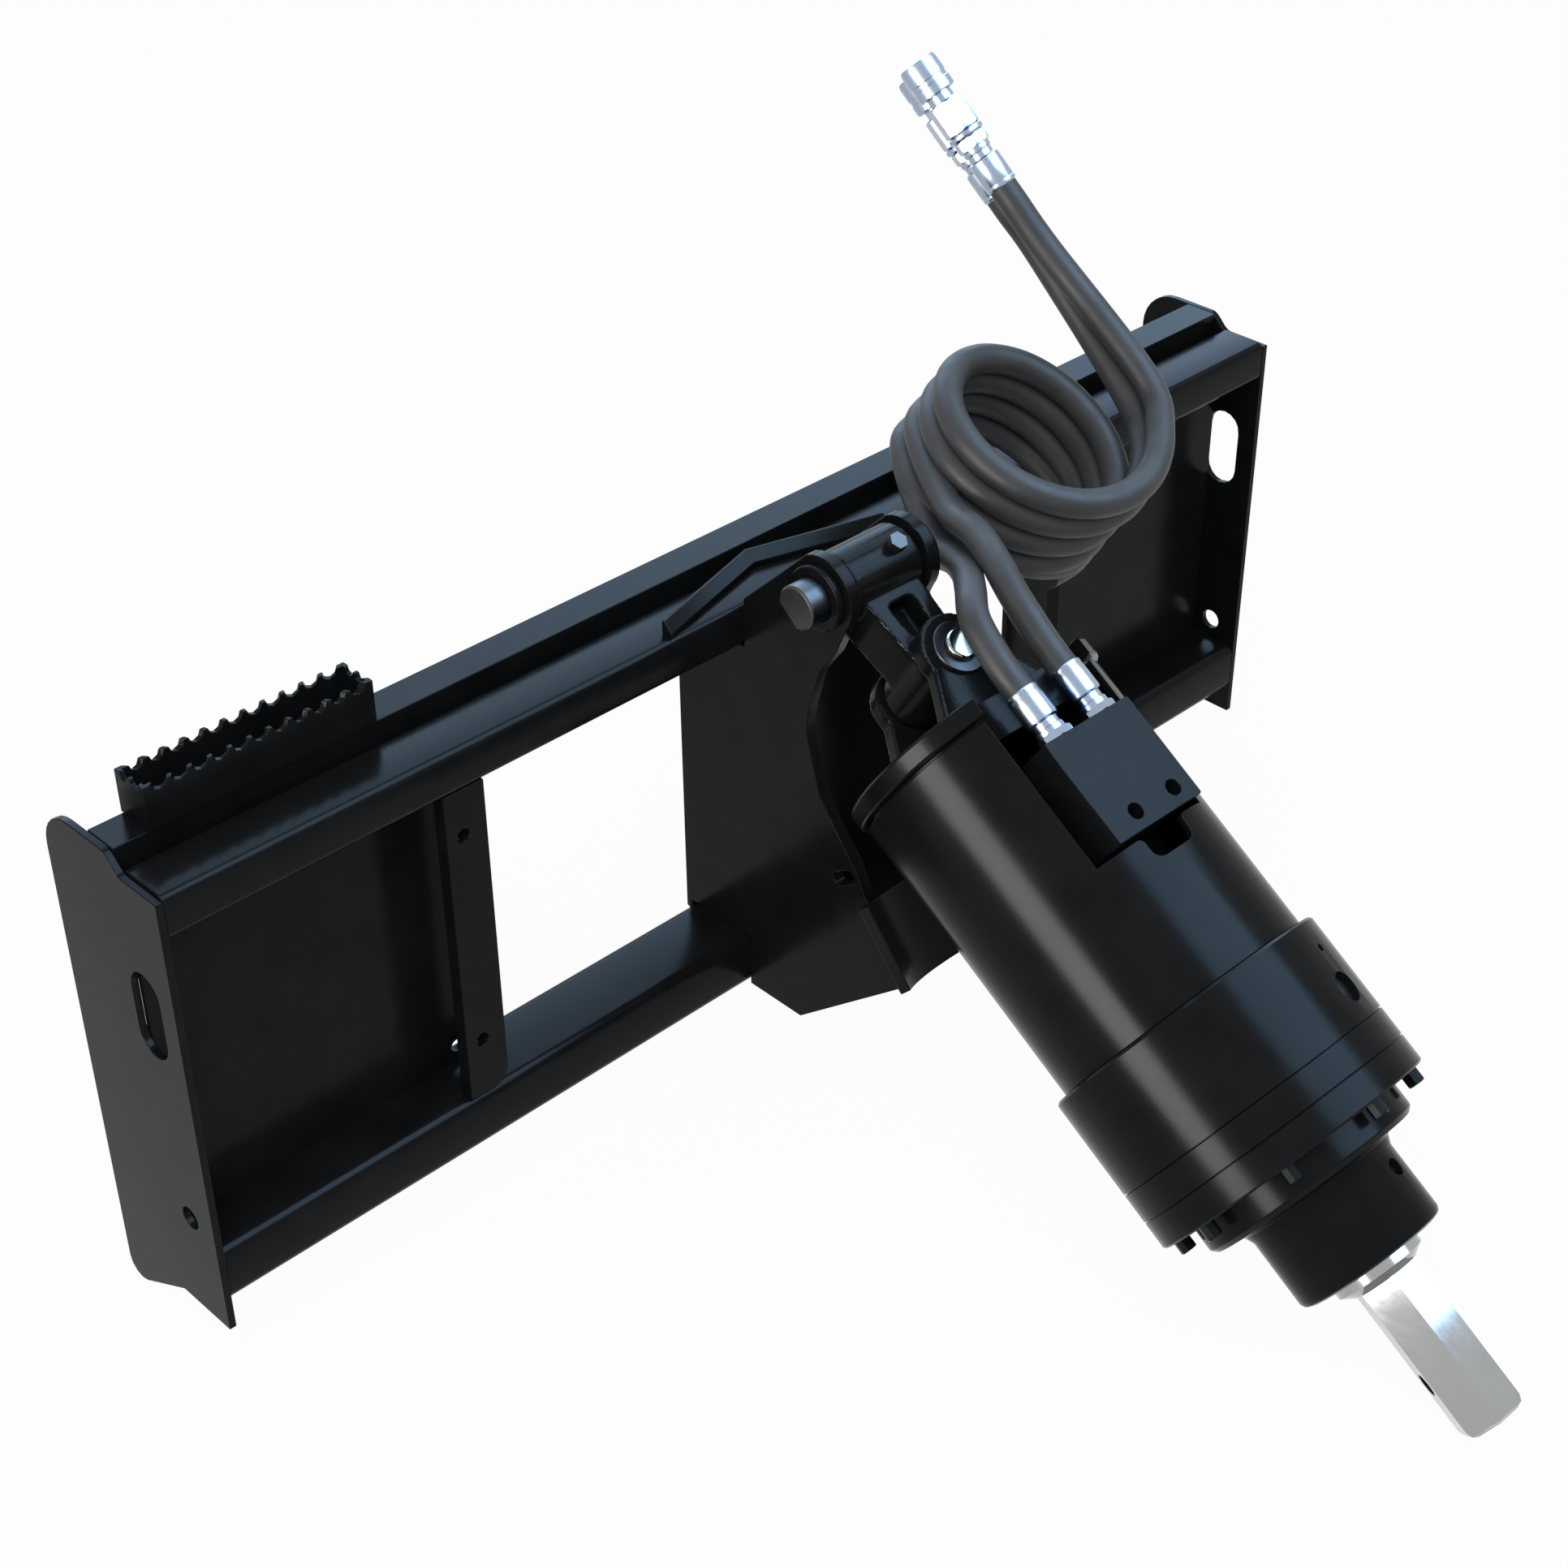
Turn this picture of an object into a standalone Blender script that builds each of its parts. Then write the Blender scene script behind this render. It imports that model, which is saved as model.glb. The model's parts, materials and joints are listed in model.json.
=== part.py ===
"""Earth auger drive on a quick attach hitch frame.

Metres, +Z up, +X to the right of someone who faces the frame's front, +Y to the carrier machine.
Sizes are first written from the front edge of the end plates, and one empty then moves the model
so that the origin lies under the hook strip, where the machine's mounting plate bears.
"""
import bpy
import bmesh
from math import acos, atan2, ceil, cos, pi, radians, sin, sqrt
from mathutils import Matrix, Vector

for old in list(bpy.data.objects):
    bpy.data.objects.remove(old, do_unlink=True)

# Clearances
SEAM = 0.0003
RUN = 0.0008

# End plates
FRAME_WIDTH = 1.150
PLATE_T = 0.0057
PLATE_FLAT = 0.040
PLATE_RISE = 0.0137
PLATE_RISE_END = 0.061
PLATE_BACK = 0.1345
PLATE_BACK_R = 0.034
PLATE_FRONT_H = 0.381
PLATE_BACK_H = 0.424
PLATE_FOOT = 0.0575
SLOT_Y = 0.0345
SLOT_Z = -0.111
SLOT_W = 0.033
SLOT_H = 0.071
HOLE_Y = 0.029
HOLE_Z = -0.291
HOLE_R = 0.0092

# Rails
UPPER_DEPTH = 0.0465
UPPER_TOP = 0.003
UPPER_H = 0.035
LOWER_DEPTH = 0.068
LOWER_TOP = -0.308
LOWER_H = 0.048
RAIL_WALL = 0.005
UPPER_R = 0.006
LOWER_R = 0.009
STRIP_Y = 0.0545
STRIP_W = 0.0305
STRIP_T = 0.010
WEB_T = 0.005
WEB_Z = -0.010

# Straps and contact panels
STRAP_IN = 0.309
STRAP_W = 0.036
STRAP_Y = 0.002
STRAP_T = 0.012
STRAP_R = 0.014
STRAP_HOLE_R = 0.0055
STRAP_HOLE_IN = 0.021
STRAP_HOLE_Z = (-0.071, -0.257)
PANEL_T = 0.006
PANEL_HOLE_R = 0.0055
PANEL_IN = 0.296
PANEL_HOLE_X = 0.322
PANEL_HOLE_Z = -0.2945

# Step
STEP_FROM_END = 0.1255
STEP_X = STEP_FROM_END - FRAME_WIDTH / 2
STEP_L = 0.185
STEP_W = 0.0335
STEP_H = 0.034
STEP_WALL = 0.004
STEP_TEETH = 11
STEP_END_TEETH = 2
STEP_BITE = 0.0062

# Hitch
HITCH_X = -0.014
GUSSET_GAP = 0.072
GUSSET_T = 0.010
GUSSET_BACK = 0.075
PIN_Y = -0.0816
PIN_Z = 0.046
PIN_R = 0.0173
LOBE_R = 0.0315
PIN_LEFT = 0.0253
PIN_RIGHT = 0.009
PIN_COLLAR_R = 0.0255
PIN_COLLAR_T = 0.0065
PIN_FLAT = 0.006
STUD_HOLE_R = 0.006
STUD_HOLE_L = 0.013
BAR_HALF = 0.115
BAR_REACH = 0.033
BAR_W = 0.011
BAR_H = 0.011
BAR_LOW = 0.004

# Drive, seen along its own axis from the hitch end
DRIVE_TILT = radians(56.4)
PIN_AHEAD = 0.0136
PIN_ABOVE = 0.009
SEAT_TILT = radians(39.7)
SWING_S = 0.081
CAP_R = 0.106
CAP_S = 0.126
CAP_T = 0.015
CAP_GROOVE = 0.003
CAP_SPIGOT = 0.012
HOOD_R = 0.102
HOOD_WALL = 0.006
HOUSING_S = 0.3785
HOUSING_R = 0.111
HOUSING_H = 0.079
HOUSING_WALL = 0.017
HOUSING_BORE = HOUSING_R - HOUSING_WALL
MODULE = HOUSING_R / 44.4
CARRIER_R = 28.8 * MODULE
RING_H = 0.023
GROOVE_W = 0.0016
GROOVE_D = 0.002
FLANGE_H = 0.0225
FLANGE_BORE = CARRIER_R + 0.002
RIM_STEP = 0.025
RIM_R = HOUSING_R - RIM_STEP
RIM_H = 0.023
NECK_R = 0.0586
NECK_H = 0.066
NECK_FILLET = 0.010
NECK_BORE = 0.047

# Cut-out of the hood and what stands in it
CUT_HALF = 0.055
CUT_DEPTH = 0.058
CUT_END_GAP = 0.003
TAB_LEFT = -0.019
TAB_RIGHT = 0.021
TAB_LENGTH = 0.019
TAB_R = 0.008
BLOCK_LEFT = -0.042
BLOCK_RIGHT = 0.045
BLOCK_FRONT = 0.105
BLOCK_S = 0.183
BLOCK_H = 0.085
BLOCK_HOLE_R = 0.006
BLOCK_HOLE_S = 0.2545
BLOCK_HOLE_X = (-0.013, 0.027)
BLOCK_SCREW_SUNK = 0.012
BLOCK_SCREW_L = 0.022
PORT_X = (-0.014, 0.031)
PORT_A = 0.086
FERRULE_R = 0.0128
FERRULE_L = 0.036
NUT_AF = 0.024
NUT_H = 0.0068
MOTOR_R = 0.062
MOTOR_WALL = 0.012
MOTOR_CAP = 0.014
MOTOR_FLANGE_R = 0.088
MOTOR_FLANGE_T = 0.014

# Ears and link
EAR_IN = 0.031
EAR_T = 0.014
EAR_R = 0.030
EAR_FOOT = 0.050
LOWER_PIN_R = 0.0125
LOWER_PIN_OUT = 0.0055
WASHER_R = 0.021
WASHER_T = 0.003
LINK_TUBE_R = 0.0275
LINK_BOSS_R = 0.026
BUSH_WALL = 0.003
BUSH_L = 0.022
LINK_WEB = 0.029
POCKET_HALF = 0.013
POCKET_DEPTH = 0.018
BOLT_AF = 0.013
BOLT_HEAD = 0.008
LINK_BOLT_X = 0.014

# Gears
SUN_TEETH = 18
PLANET_TEETH = 24
RING_TEETH = 66
PLANETS = 3
ADDENDUM = 0.75
DEDENDUM = 1.1
GEAR_END = 0.001
PLANET_PIN_R = 0.010

# Output
CARRIER_T = 0.014
SHAFT_R = 0.034
BEARING_H = 0.017
BEARING_UPPER_S = 0.506
BEARING_LOWER_S = 0.561
SEAL_H = 0.009
COLLAR_R = 0.035
COLLAR_H = 0.008
HEX_START = 0.006
HEX_R = 0.02625
HEX_TURN = radians(29)
HEX_TIP = 0.726
HEX_CHAMFER = 0.007
CROSS_R = 0.0085
CROSS_S = 0.680

# Screws, plugs and radial holes
SCREWS = 8
SCREW_INSET = 0.013
SCREW_CIRCLE = HOUSING_R - SCREW_INSET
SCREW_R = 0.0063
SCREW_HEAD = 0.011
SCREW_TURN = radians(1)
PLUG_S = 0.4325
PLUG_TURN = radians(24)
PLUG_R = 0.012
PLUG_SUNK = 0.006
BLEED_S = 0.401
BLEED_TURN = radians(26)
BLEED_R = 0.003
BLEED_D = 0.008
GREASE_S = 0.549
GREASE_TURN = radians(21.6)
GREASE_R = 0.0065
GREASE_D = 0.0065

# Cradle
CRADLE_GAP = 0.0015
CRADLE_T = 0.0085
CRADLE_HALF = 0.066
CRADLE_S = 0.213
CRADLE_L = 0.071

# Hoses
HOSE_R = 0.0115
COIL_R = 0.080
COIL_NEAR = Vector((0.1839, -0.0917, 0.1115))
COIL_FAR = Vector((0.1703, -0.0303, 0.0073))
LEAD_A = (
    (-0.0270, -0.2200, 0.0412),
    (-0.0180, -0.1920, 0.0555),
    (0.0060, -0.1660, 0.0585),
    (0.0330, -0.1380, 0.0490),
    (0.0560, -0.1065, 0.0380),
    (0.0751, -0.0664, 0.0300),
)
LEAD_B = (
    (0.0180, -0.2200, 0.0412),
    (0.0250, -0.1900, 0.0570),
    (0.0390, -0.1590, 0.0665),
    (0.0560, -0.1250, 0.0685),
    (0.0772, -0.0781, 0.0632),
)
TAIL_A = (
    (0.2884, -0.0888, 0.0995),
    (0.2720, 0.0030, 0.1830),
    (0.2620, 0.0420, 0.2260),
)
TAIL_B = (
    (0.2840, -0.0771, 0.0797),
    (0.2914, 0.0231, 0.1636),
    (0.2814, 0.0621, 0.2066),
)
TAIL_NUT_L = 0.010
TAIL_STRAIGHT = 0.012
COUPLER_COLLAR_R = 0.0150
COUPLER_COLLAR_L = 0.006
COUPLER_AF = 0.027
COUPLER_HEX_L = 0.027
SLEEVE_R = 0.0158
SLEEVE_BORE = 0.0112
SLEEVE_L = 0.029
SLEEVE_TRAVEL = 0.006
COUPLER_NOSE_R = 0.0104
COUPLER_BORE = 0.006

X = Vector((1, 0, 0))
DOWN_AXIS = Vector((0, -sin(DRIVE_TILT), -cos(DRIVE_TILT)))
FRONT_AXIS = Vector((0, -cos(DRIVE_TILT), sin(DRIVE_TILT)))
PIN = Vector((HITCH_X, PIN_Y, PIN_Z))


def drive_origin(tilt):
    front = Vector((0, -cos(tilt), sin(tilt)))
    down = Vector((0, -sin(tilt), -cos(tilt)))
    return PIN - front * PIN_AHEAD + down * PIN_ABOVE


DRIVE = drive_origin(DRIVE_TILT)
STRIP_TOP = PLATE_RISE
BASE = Vector((0, STRIP_Y + STRIP_W / 2, STRIP_TOP - STRIP_T))

base = bpy.data.objects.new("frame_base", None)
bpy.context.collection.objects.link(base)
base.location = -BASE


def material(name, colour, roughness, metallic):
    made = bpy.data.materials.new(name)
    made.use_nodes = True
    shader = made.node_tree.nodes["Principled BSDF"]
    shader.inputs["Base Color"].default_value = (*colour, 1)
    shader.inputs["Roughness"].default_value = roughness
    shader.inputs["Metallic"].default_value = metallic
    return made


PAINT = material("black_paint", (0.010, 0.010, 0.011), 0.35, 0.0)
CAST = material("black_casting", (0.012, 0.012, 0.013), 0.45, 0.0)
DARK = material("dark_steel", (0.06, 0.06, 0.06), 0.4, 0.8)
STEEL = material("ground_steel", (0.42, 0.43, 0.45), 0.25, 1.0)
ZINC = material("zinc_plate", (0.52, 0.55, 0.60), 0.22, 1.0)
GEAR = material("gear_steel", (0.35, 0.35, 0.36), 0.3, 1.0)
BRONZE = material("bronze", (0.45, 0.28, 0.12), 0.4, 1.0)
RUBBER = material("hose_rubber", (0.018, 0.018, 0.020), 0.55, 0.0)


def axes(origin, x_axis, y_axis):
    """A matrix whose local X and Y run along the two given directions."""
    x_axis = Vector(x_axis).normalized()
    z_axis = x_axis.cross(Vector(y_axis)).normalized()
    y_axis = z_axis.cross(x_axis)
    turn = Matrix((x_axis, y_axis, z_axis)).transposed().to_4x4()
    return Matrix.Translation(Vector(origin)) @ turn


def finish_mesh(name, bm, look, pivot=(0, 0, 0), angle=35):
    """Turns a bmesh in frame coordinates into an object whose origin lies at the pivot."""
    bmesh.ops.remove_doubles(bm, verts=bm.verts, dist=0.000001)
    bmesh.ops.recalc_face_normals(bm, faces=bm.faces)
    bmesh.ops.translate(bm, verts=bm.verts, vec=-Vector(pivot))
    mesh = bpy.data.meshes.new(name)
    bm.to_mesh(mesh)
    bm.free()
    mesh.shade_smooth()
    mesh.set_sharp_from_angle(angle=radians(angle))
    mesh.materials.append(look)
    made = bpy.data.objects.new(name, mesh)
    bpy.context.collection.objects.link(made)
    made.parent = base
    made.location = Vector(pivot)
    return made


def extrude_loops(bm, loops, depth, matrix):
    """Fills an outline with its holes and extrudes it along the matrix's Z."""
    edges = []
    for loop in loops:
        ring = [bm.verts.new(matrix @ Vector((p[0], p[1], 0))) for p in loop]
        for i in range(len(ring)):
            edges.append(bm.edges.new((ring[i - 1], ring[i])))
    filled = bmesh.ops.triangle_fill(bm, use_beauty=True, use_dissolve=False, edges=edges)
    faces = [f for f in filled["geom"] if isinstance(f, bmesh.types.BMFace)]
    grown = bmesh.ops.extrude_face_region(bm, geom=faces, use_keep_orig=True)
    moved = [v for v in grown["geom"] if isinstance(v, bmesh.types.BMVert)]
    shift = matrix.to_3x3() @ Vector((0, 0, depth))
    bmesh.ops.translate(bm, verts=moved, vec=shift)


def slab(name, loops, depth, matrix, look, pivot=(0, 0, 0)):
    bm = bmesh.new()
    extrude_loops(bm, loops, depth, matrix)
    return finish_mesh(name, bm, look, pivot)


def circle(x, y, radius, steps=20, turn=0.0):
    return [
        (x + radius * cos(turn + 2 * pi * i / steps), y + radius * sin(turn + 2 * pi * i / steps))
        for i in range(steps)
    ]


def arc(x, y, radius, start, end, steps):
    return [
        (
            x + radius * cos(start + (end - start) * i / steps),
            y + radius * sin(start + (end - start) * i / steps),
        )
        for i in range(steps + 1)
    ]


def rounded(points, radii, steps=4):
    """A polygon whose corners are rounded with the given radii."""
    out = []
    count = len(points)
    for i in range(count):
        p = Vector(points[i])
        a = (Vector(points[i - 1]) - p).normalized()
        b = (Vector(points[(i + 1) % count]) - p).normalized()
        radius = radii[i] if isinstance(radii, (list, tuple)) else radii
        if radius <= 0:
            out.append(tuple(p))
            continue
        half = acos(max(-1, min(1, a.dot(b)))) / 2
        centre = p + (a + b).normalized() * (radius / sin(half))
        first = p + a * (radius * cos(half) / sin(half)) - centre
        last = p + b * (radius * cos(half) / sin(half)) - centre
        start = atan2(first.y, first.x)
        sweep = atan2(first.x * last.y - first.y * last.x, first.dot(last))
        out += arc(centre.x, centre.y, radius, start, start + sweep, steps)
    return out


def box_loop(x0, x1, y0, y1, radius=0.0, steps=4):
    return rounded([(x0, y0), (x1, y0), (x1, y1), (x0, y1)], radius, steps)


def turn_profile(bm, profile, matrix, steps):
    """Spins a closed profile of radius and height around the matrix's Z."""
    rings = []
    for radius, height in profile:
        if radius < 1e-7:
            rings.append([bm.verts.new(matrix @ Vector((0, 0, height)))])
            continue
        rings.append(
            [
                bm.verts.new(
                    matrix
                    @ Vector((radius * cos(2 * pi * i / steps), radius * sin(2 * pi * i / steps), height))
                )
                for i in range(steps)
            ]
        )
    for k in range(len(rings)):
        a = rings[k - 1]
        b = rings[k]
        if len(a) == 1 and len(b) == 1:
            continue
        for i in range(steps):
            j = (i + 1) % steps
            corners = [a[i % len(a)], a[j % len(a)], b[j % len(b)], b[i % len(b)]]
            face = []
            for corner in corners:
                if corner not in face:
                    face.append(corner)
            bm.faces.new(face)


def turned(name, profile, matrix, look, steps=40, pivot=(0, 0, 0), angle=35):
    bm = bmesh.new()
    turn_profile(bm, profile, matrix, steps)
    return finish_mesh(name, bm, look, pivot, angle)


def several(name, makers, look, pivot=(0, 0, 0)):
    bm = bmesh.new()
    for maker in makers:
        maker(bm)
    return finish_mesh(name, bm, look, pivot)


def cutter(shape):
    shape.hide_render = True
    shape.display_type = "WIRE"
    return shape


def boolean(target, tool, operation):
    step = target.modifiers.new(operation.lower(), "BOOLEAN")
    step.object = tool
    step.operation = operation
    step.solver = "EXACT"
    cutter(tool)


def side(x0):
    """Local X runs along frame Y and local Y along frame Z, at one station across the frame."""
    return axes((x0, 0, 0), (0, 1, 0), (0, 0, 1))


def drive_point(x, a, s):
    return DRIVE + X * x + FRONT_AXIS * a + DOWN_AXIS * s


def along_drive(s=0.0, x=0.0, a=0.0):
    """Local X across, local Y to the drive's front and local Z along the drive to its tip."""
    return axes(drive_point(x, a, s), X, FRONT_AXIS)


def radial(s, turn, reach):
    """Local Z points outwards from the drive's axis at an angle from its front."""
    outward = FRONT_AXIS * cos(turn) + X * sin(turn)
    origin = drive_point(0, 0, s) + outward * reach
    return axes(origin, DOWN_AXIS, outward.cross(DOWN_AXIS))


# End plates
def plate_outline():
    steps = 8
    top = [(0, 0)]
    for i in range(steps + 1):
        t = i / steps
        y = PLATE_FLAT + (PLATE_RISE_END - PLATE_FLAT) * t
        top.append((y, PLATE_RISE * (1 - cos(pi * t)) / 2))
    corner = arc(
        PLATE_BACK - PLATE_BACK_R, PLATE_RISE - PLATE_BACK_R, PLATE_BACK_R, pi / 2, 0, 7
    )
    foot = rounded(
        [
            (PLATE_BACK, -PLATE_BACK_H / 2),
            (PLATE_BACK, -PLATE_BACK_H),
            (PLATE_FOOT, -PLATE_FRONT_H),
            (0, -PLATE_FRONT_H),
        ],
        [0, 0.014, 0, 0],
    )
    return top + corner + foot[1:]


def slot_loop(y, z, width, height, steps=8):
    r = width / 2
    straight = height / 2 - r
    return arc(y, z + straight, r, 0, pi, steps) + arc(y, z - straight, r, pi, 2 * pi, steps)


plate_loops = [
    plate_outline(),
    slot_loop(SLOT_Y, SLOT_Z, SLOT_W, SLOT_H),
    circle(HOLE_Y, HOLE_Z, HOLE_R, 16),
]
INNER = FRAME_WIDTH / 2 - PLATE_T
slab("end_plate_left", plate_loops, PLATE_T, side(-FRAME_WIDTH / 2), PAINT)
slab("end_plate_right", plate_loops, PLATE_T, side(INNER), PAINT)

# Rails and hook strip
RAIL_HALF = INNER - SEAM


def rail(name, depth, top, height, radius, wall):
    outer = box_loop(0, depth, top - height, top, radius)
    inner = box_loop(wall, depth - wall, top - height + wall, top - wall)
    return slab(name, [outer, inner], 2 * RAIL_HALF, side(-RAIL_HALF), PAINT)


rail("upper_rail", UPPER_DEPTH, UPPER_TOP, UPPER_H, UPPER_R, RAIL_WALL)
rail("lower_rail", LOWER_DEPTH, LOWER_TOP, LOWER_H, LOWER_R, RAIL_WALL)
slab(
    "hook_strip",
    [
        [
            (STRIP_Y, STRIP_TOP),
            (STRIP_Y, WEB_Z),
            (UPPER_DEPTH + SEAM, WEB_Z),
            (UPPER_DEPTH + SEAM, WEB_Z - WEB_T),
            (STRIP_Y + WEB_T, WEB_Z - WEB_T),
            (STRIP_Y + WEB_T, STRIP_TOP - STRIP_T),
            (STRIP_Y + STRIP_W, STRIP_TOP - STRIP_T),
            (STRIP_Y + STRIP_W, STRIP_TOP),
        ]
    ],
    2 * RAIL_HALF,
    side(-RAIL_HALF),
    PAINT,
)

# Straps and contact panels
WINDOW_TOP = UPPER_TOP - UPPER_H - SEAM
WINDOW_LOW = LOWER_TOP + SEAM
PANEL_Y = UPPER_DEPTH + SEAM
PANEL_TOP = WEB_Z - WEB_T - SEAM


def facing(y0):
    """Local X runs along frame X, local Y up and local Z to the front."""
    return axes((0, y0, 0), (1, 0, 0), (0, 0, 1))


def mirrored(loop, sign):
    return [(sign * p[0], p[1]) for p in loop]


for label, sign in (("left", -1), ("right", 1)):
    outline = rounded(
        [
            (STRAP_IN, WINDOW_LOW),
            (STRAP_IN + STRAP_W, WINDOW_LOW),
            (STRAP_IN + STRAP_W, WINDOW_TOP),
            (STRAP_IN, WINDOW_TOP),
        ],
        [STRAP_R, 0, 0, 0],
    )
    holes = [circle(STRAP_IN + STRAP_HOLE_IN, z, STRAP_HOLE_R, 16) for z in STRAP_HOLE_Z]
    slab(
        "strap_" + label,
        [mirrored(loop, sign) for loop in [outline] + holes],
        STRAP_T,
        facing(STRAP_Y + STRAP_T),
        PAINT,
    )
    panel = box_loop(PANEL_IN, RAIL_HALF, WINDOW_LOW, PANEL_TOP)
    hole = circle(PANEL_HOLE_X, PANEL_HOLE_Z, PANEL_HOLE_R, 16)
    slab(
        "panel_" + label,
        [mirrored(panel, sign), mirrored(hole, sign)],
        PANEL_T,
        facing(PANEL_Y + PANEL_T),
        PAINT,
    )

# Step with a scalloped edge
STEP_Y = STRIP_Y + STRIP_W / 2


def step_edge():
    """Points around the step's wall with the height of the edge at each."""
    half_x = STEP_L / 2
    half_y = STEP_W / 2
    corners = [(-half_x, -half_y), (half_x, -half_y), (half_x, half_y), (-half_x, half_y)]
    out = []
    for k in range(4):
        a = Vector(corners[k])
        b = Vector(corners[(k + 1) % 4])
        teeth = STEP_TEETH if k % 2 == 0 else STEP_END_TEETH
        length = (b - a).length
        pitch = length / (teeth + 0.5)
        bite = min(STEP_BITE, pitch * 0.38)
        out.append((a, 0.0))
        for i in range(teeth):
            middle = pitch * (i + 0.75)
            for j in range(5):
                angle = pi * j / 4
                along = middle - bite * cos(angle)
                out.append((a.lerp(b, along / length), -bite * sin(angle)))
    return out


def make_step():
    bm = bmesh.new()
    top = STRIP_TOP + SEAM + STEP_H
    low = STRIP_TOP + SEAM
    inner_x = 1 - 2 * STEP_WALL / STEP_L
    inner_y = 1 - 2 * STEP_WALL / STEP_W
    rings = []
    for point, drop in step_edge():
        ring = []
        for sx, sy in ((1, 1), (inner_x, inner_y)):
            x = STEP_X + point.x * sx
            y = STEP_Y + point.y * sy
            ring.append(bm.verts.new((x, y, low)))
            ring.append(bm.verts.new((x, y, top + drop)))
        rings.append(ring)
    for i in range(len(rings)):
        a = rings[i - 1]
        b = rings[i]
        bm.faces.new((a[0], b[0], b[1], a[1]))
        bm.faces.new((a[1], b[1], b[3], a[3]))
        bm.faces.new((a[3], b[3], b[2], a[2]))
        bm.faces.new((a[2], b[2], b[0], a[0]))
    return finish_mesh("step_box", bm, PAINT, angle=20)


make_step()

# Cradle, in the place that the drive takes when it rests in it
SEAT_DOWN = Vector((0, -sin(SEAT_TILT), -cos(SEAT_TILT)))
SEAT_FRONT = Vector((0, -cos(SEAT_TILT), sin(SEAT_TILT)))
SEAT = drive_origin(SEAT_TILT)
CRADLE_R = HOOD_R + CRADLE_GAP
CRADLE_OUT = CRADLE_R + CRADLE_T
CRADLE_SPREAD = atan2(CRADLE_HALF, sqrt(CRADLE_R ** 2 - CRADLE_HALF ** 2))
cradle_loop = arc(0, 0, CRADLE_R, -pi / 2 - CRADLE_SPREAD, -pi / 2 + CRADLE_SPREAD, 16)
cradle_loop += arc(0, 0, CRADLE_OUT, -pi / 2 + CRADLE_SPREAD, -pi / 2 - CRADLE_SPREAD, 16)
slab(
    "cradle",
    [cradle_loop],
    CRADLE_L,
    axes(SEAT + SEAT_DOWN * CRADLE_S, X, SEAT_FRONT),
    PAINT,
)

# Gussets of the hitch
GUSSET_IN = GUSSET_GAP / 2
CRADLE_BACK = sqrt(CRADLE_OUT ** 2 - GUSSET_IN ** 2) + SEAM


def seat_point(s, a):
    p = SEAT + SEAT_DOWN * s + SEAT_FRONT * a
    return (p.y, p.z)


def gusset_outline():
    upper_low = UPPER_TOP - UPPER_H - SEAM
    lower_top = LOWER_TOP + SEAM
    lower_bottom = LOWER_TOP - LOWER_H
    seat_high = seat_point(CRADLE_S - 0.004, -CRADLE_BACK)
    seat_low = seat_point(CRADLE_S + CRADLE_L + 0.002, -CRADLE_BACK)
    front = [
        (PIN_Y + 0.0156, PIN_Z - 0.123),
        (PIN_Y + 0.0016, PIN_Z - 0.175),
        (PIN_Y - 0.0164, PIN_Z - 0.200),
        (PIN_Y - 0.0374, PIN_Z - 0.226),
    ]
    lobe = arc(PIN_Y, PIN_Z, LOBE_R, radians(215), radians(62), 14)
    back = [
        (-SEAM, UPPER_TOP + 0.006),
        (-SEAM, upper_low),
        (GUSSET_BACK, upper_low),
        (GUSSET_BACK, lower_top - 0.008),
        (LOWER_DEPTH + SEAM, lower_top - 0.011),
        (LOWER_DEPTH + SEAM, lower_top),
        (-SEAM, lower_top),
        (-SEAM, lower_bottom),
        (-0.058, lower_bottom - 0.001),
    ]
    neck = [
        (PIN_Y + 0.0116, PIN_Z - 0.099),
    ]
    rise = [
        (PIN_Y - 0.0154, PIN_Z - 0.042),
        (PIN_Y + 0.0016, PIN_Z - 0.066),
    ]
    return lobe + back + [seat_low, seat_high] + front[::-1] + neck + rise[::-1]


stud_line = atan2(-0.5, 0.86)
stud = arc(PIN_Y - 0.0249, PIN_Z - 0.239, STUD_HOLE_R, stud_line - pi / 2, stud_line + pi / 2, 6)
shift = Vector((cos(stud_line), sin(stud_line))) * (STUD_HOLE_L / 2)
stud = [(p[0] + shift.x, p[1] + shift.y) for p in stud]
other = arc(
    PIN_Y - 0.0249, PIN_Z - 0.239, STUD_HOLE_R, stud_line + pi / 2, stud_line + 3 * pi / 2, 6
)
stud += [(p[0] - shift.x, p[1] - shift.y) for p in other]
gusset_loops = [gusset_outline(), circle(PIN_Y, PIN_Z, PIN_R + SEAM, 24), stud]
slab("gusset_left", gusset_loops, GUSSET_T, side(HITCH_X - GUSSET_IN - GUSSET_T), PAINT)
slab("gusset_right", gusset_loops, GUSSET_T, side(HITCH_X + GUSSET_IN), PAINT)


# Bent stiffener bar on the upper rail
def make_bar():
    bm = bmesh.new()
    low = UPPER_TOP + SEAM
    front = 0.002
    slope = BAR_REACH / BAR_HALF
    rings = []
    for x in (-BAR_HALF, 0.0, BAR_HALF):
        y = front + BAR_REACH - abs(x) * slope
        wide = BAR_W * sqrt(1 + slope ** 2)
        rings.append(
            [
                bm.verts.new((HITCH_X + x, y, low)),
                bm.verts.new((HITCH_X + x, y, low + BAR_LOW)),
                bm.verts.new((HITCH_X + x, y + wide * 0.75, low + BAR_H)),
                bm.verts.new((HITCH_X + x, y + wide, low + BAR_H)),
                bm.verts.new((HITCH_X + x, y + wide, low)),
            ]
        )
    for k in range(2):
        for i in range(5):
            bm.faces.new((rings[k][i - 1], rings[k][i], rings[k + 1][i], rings[k + 1][i - 1]))
    bm.faces.new(rings[0])
    bm.faces.new(rings[2])
    return finish_mesh("notch_bar", bm, PAINT)


make_bar()

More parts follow.
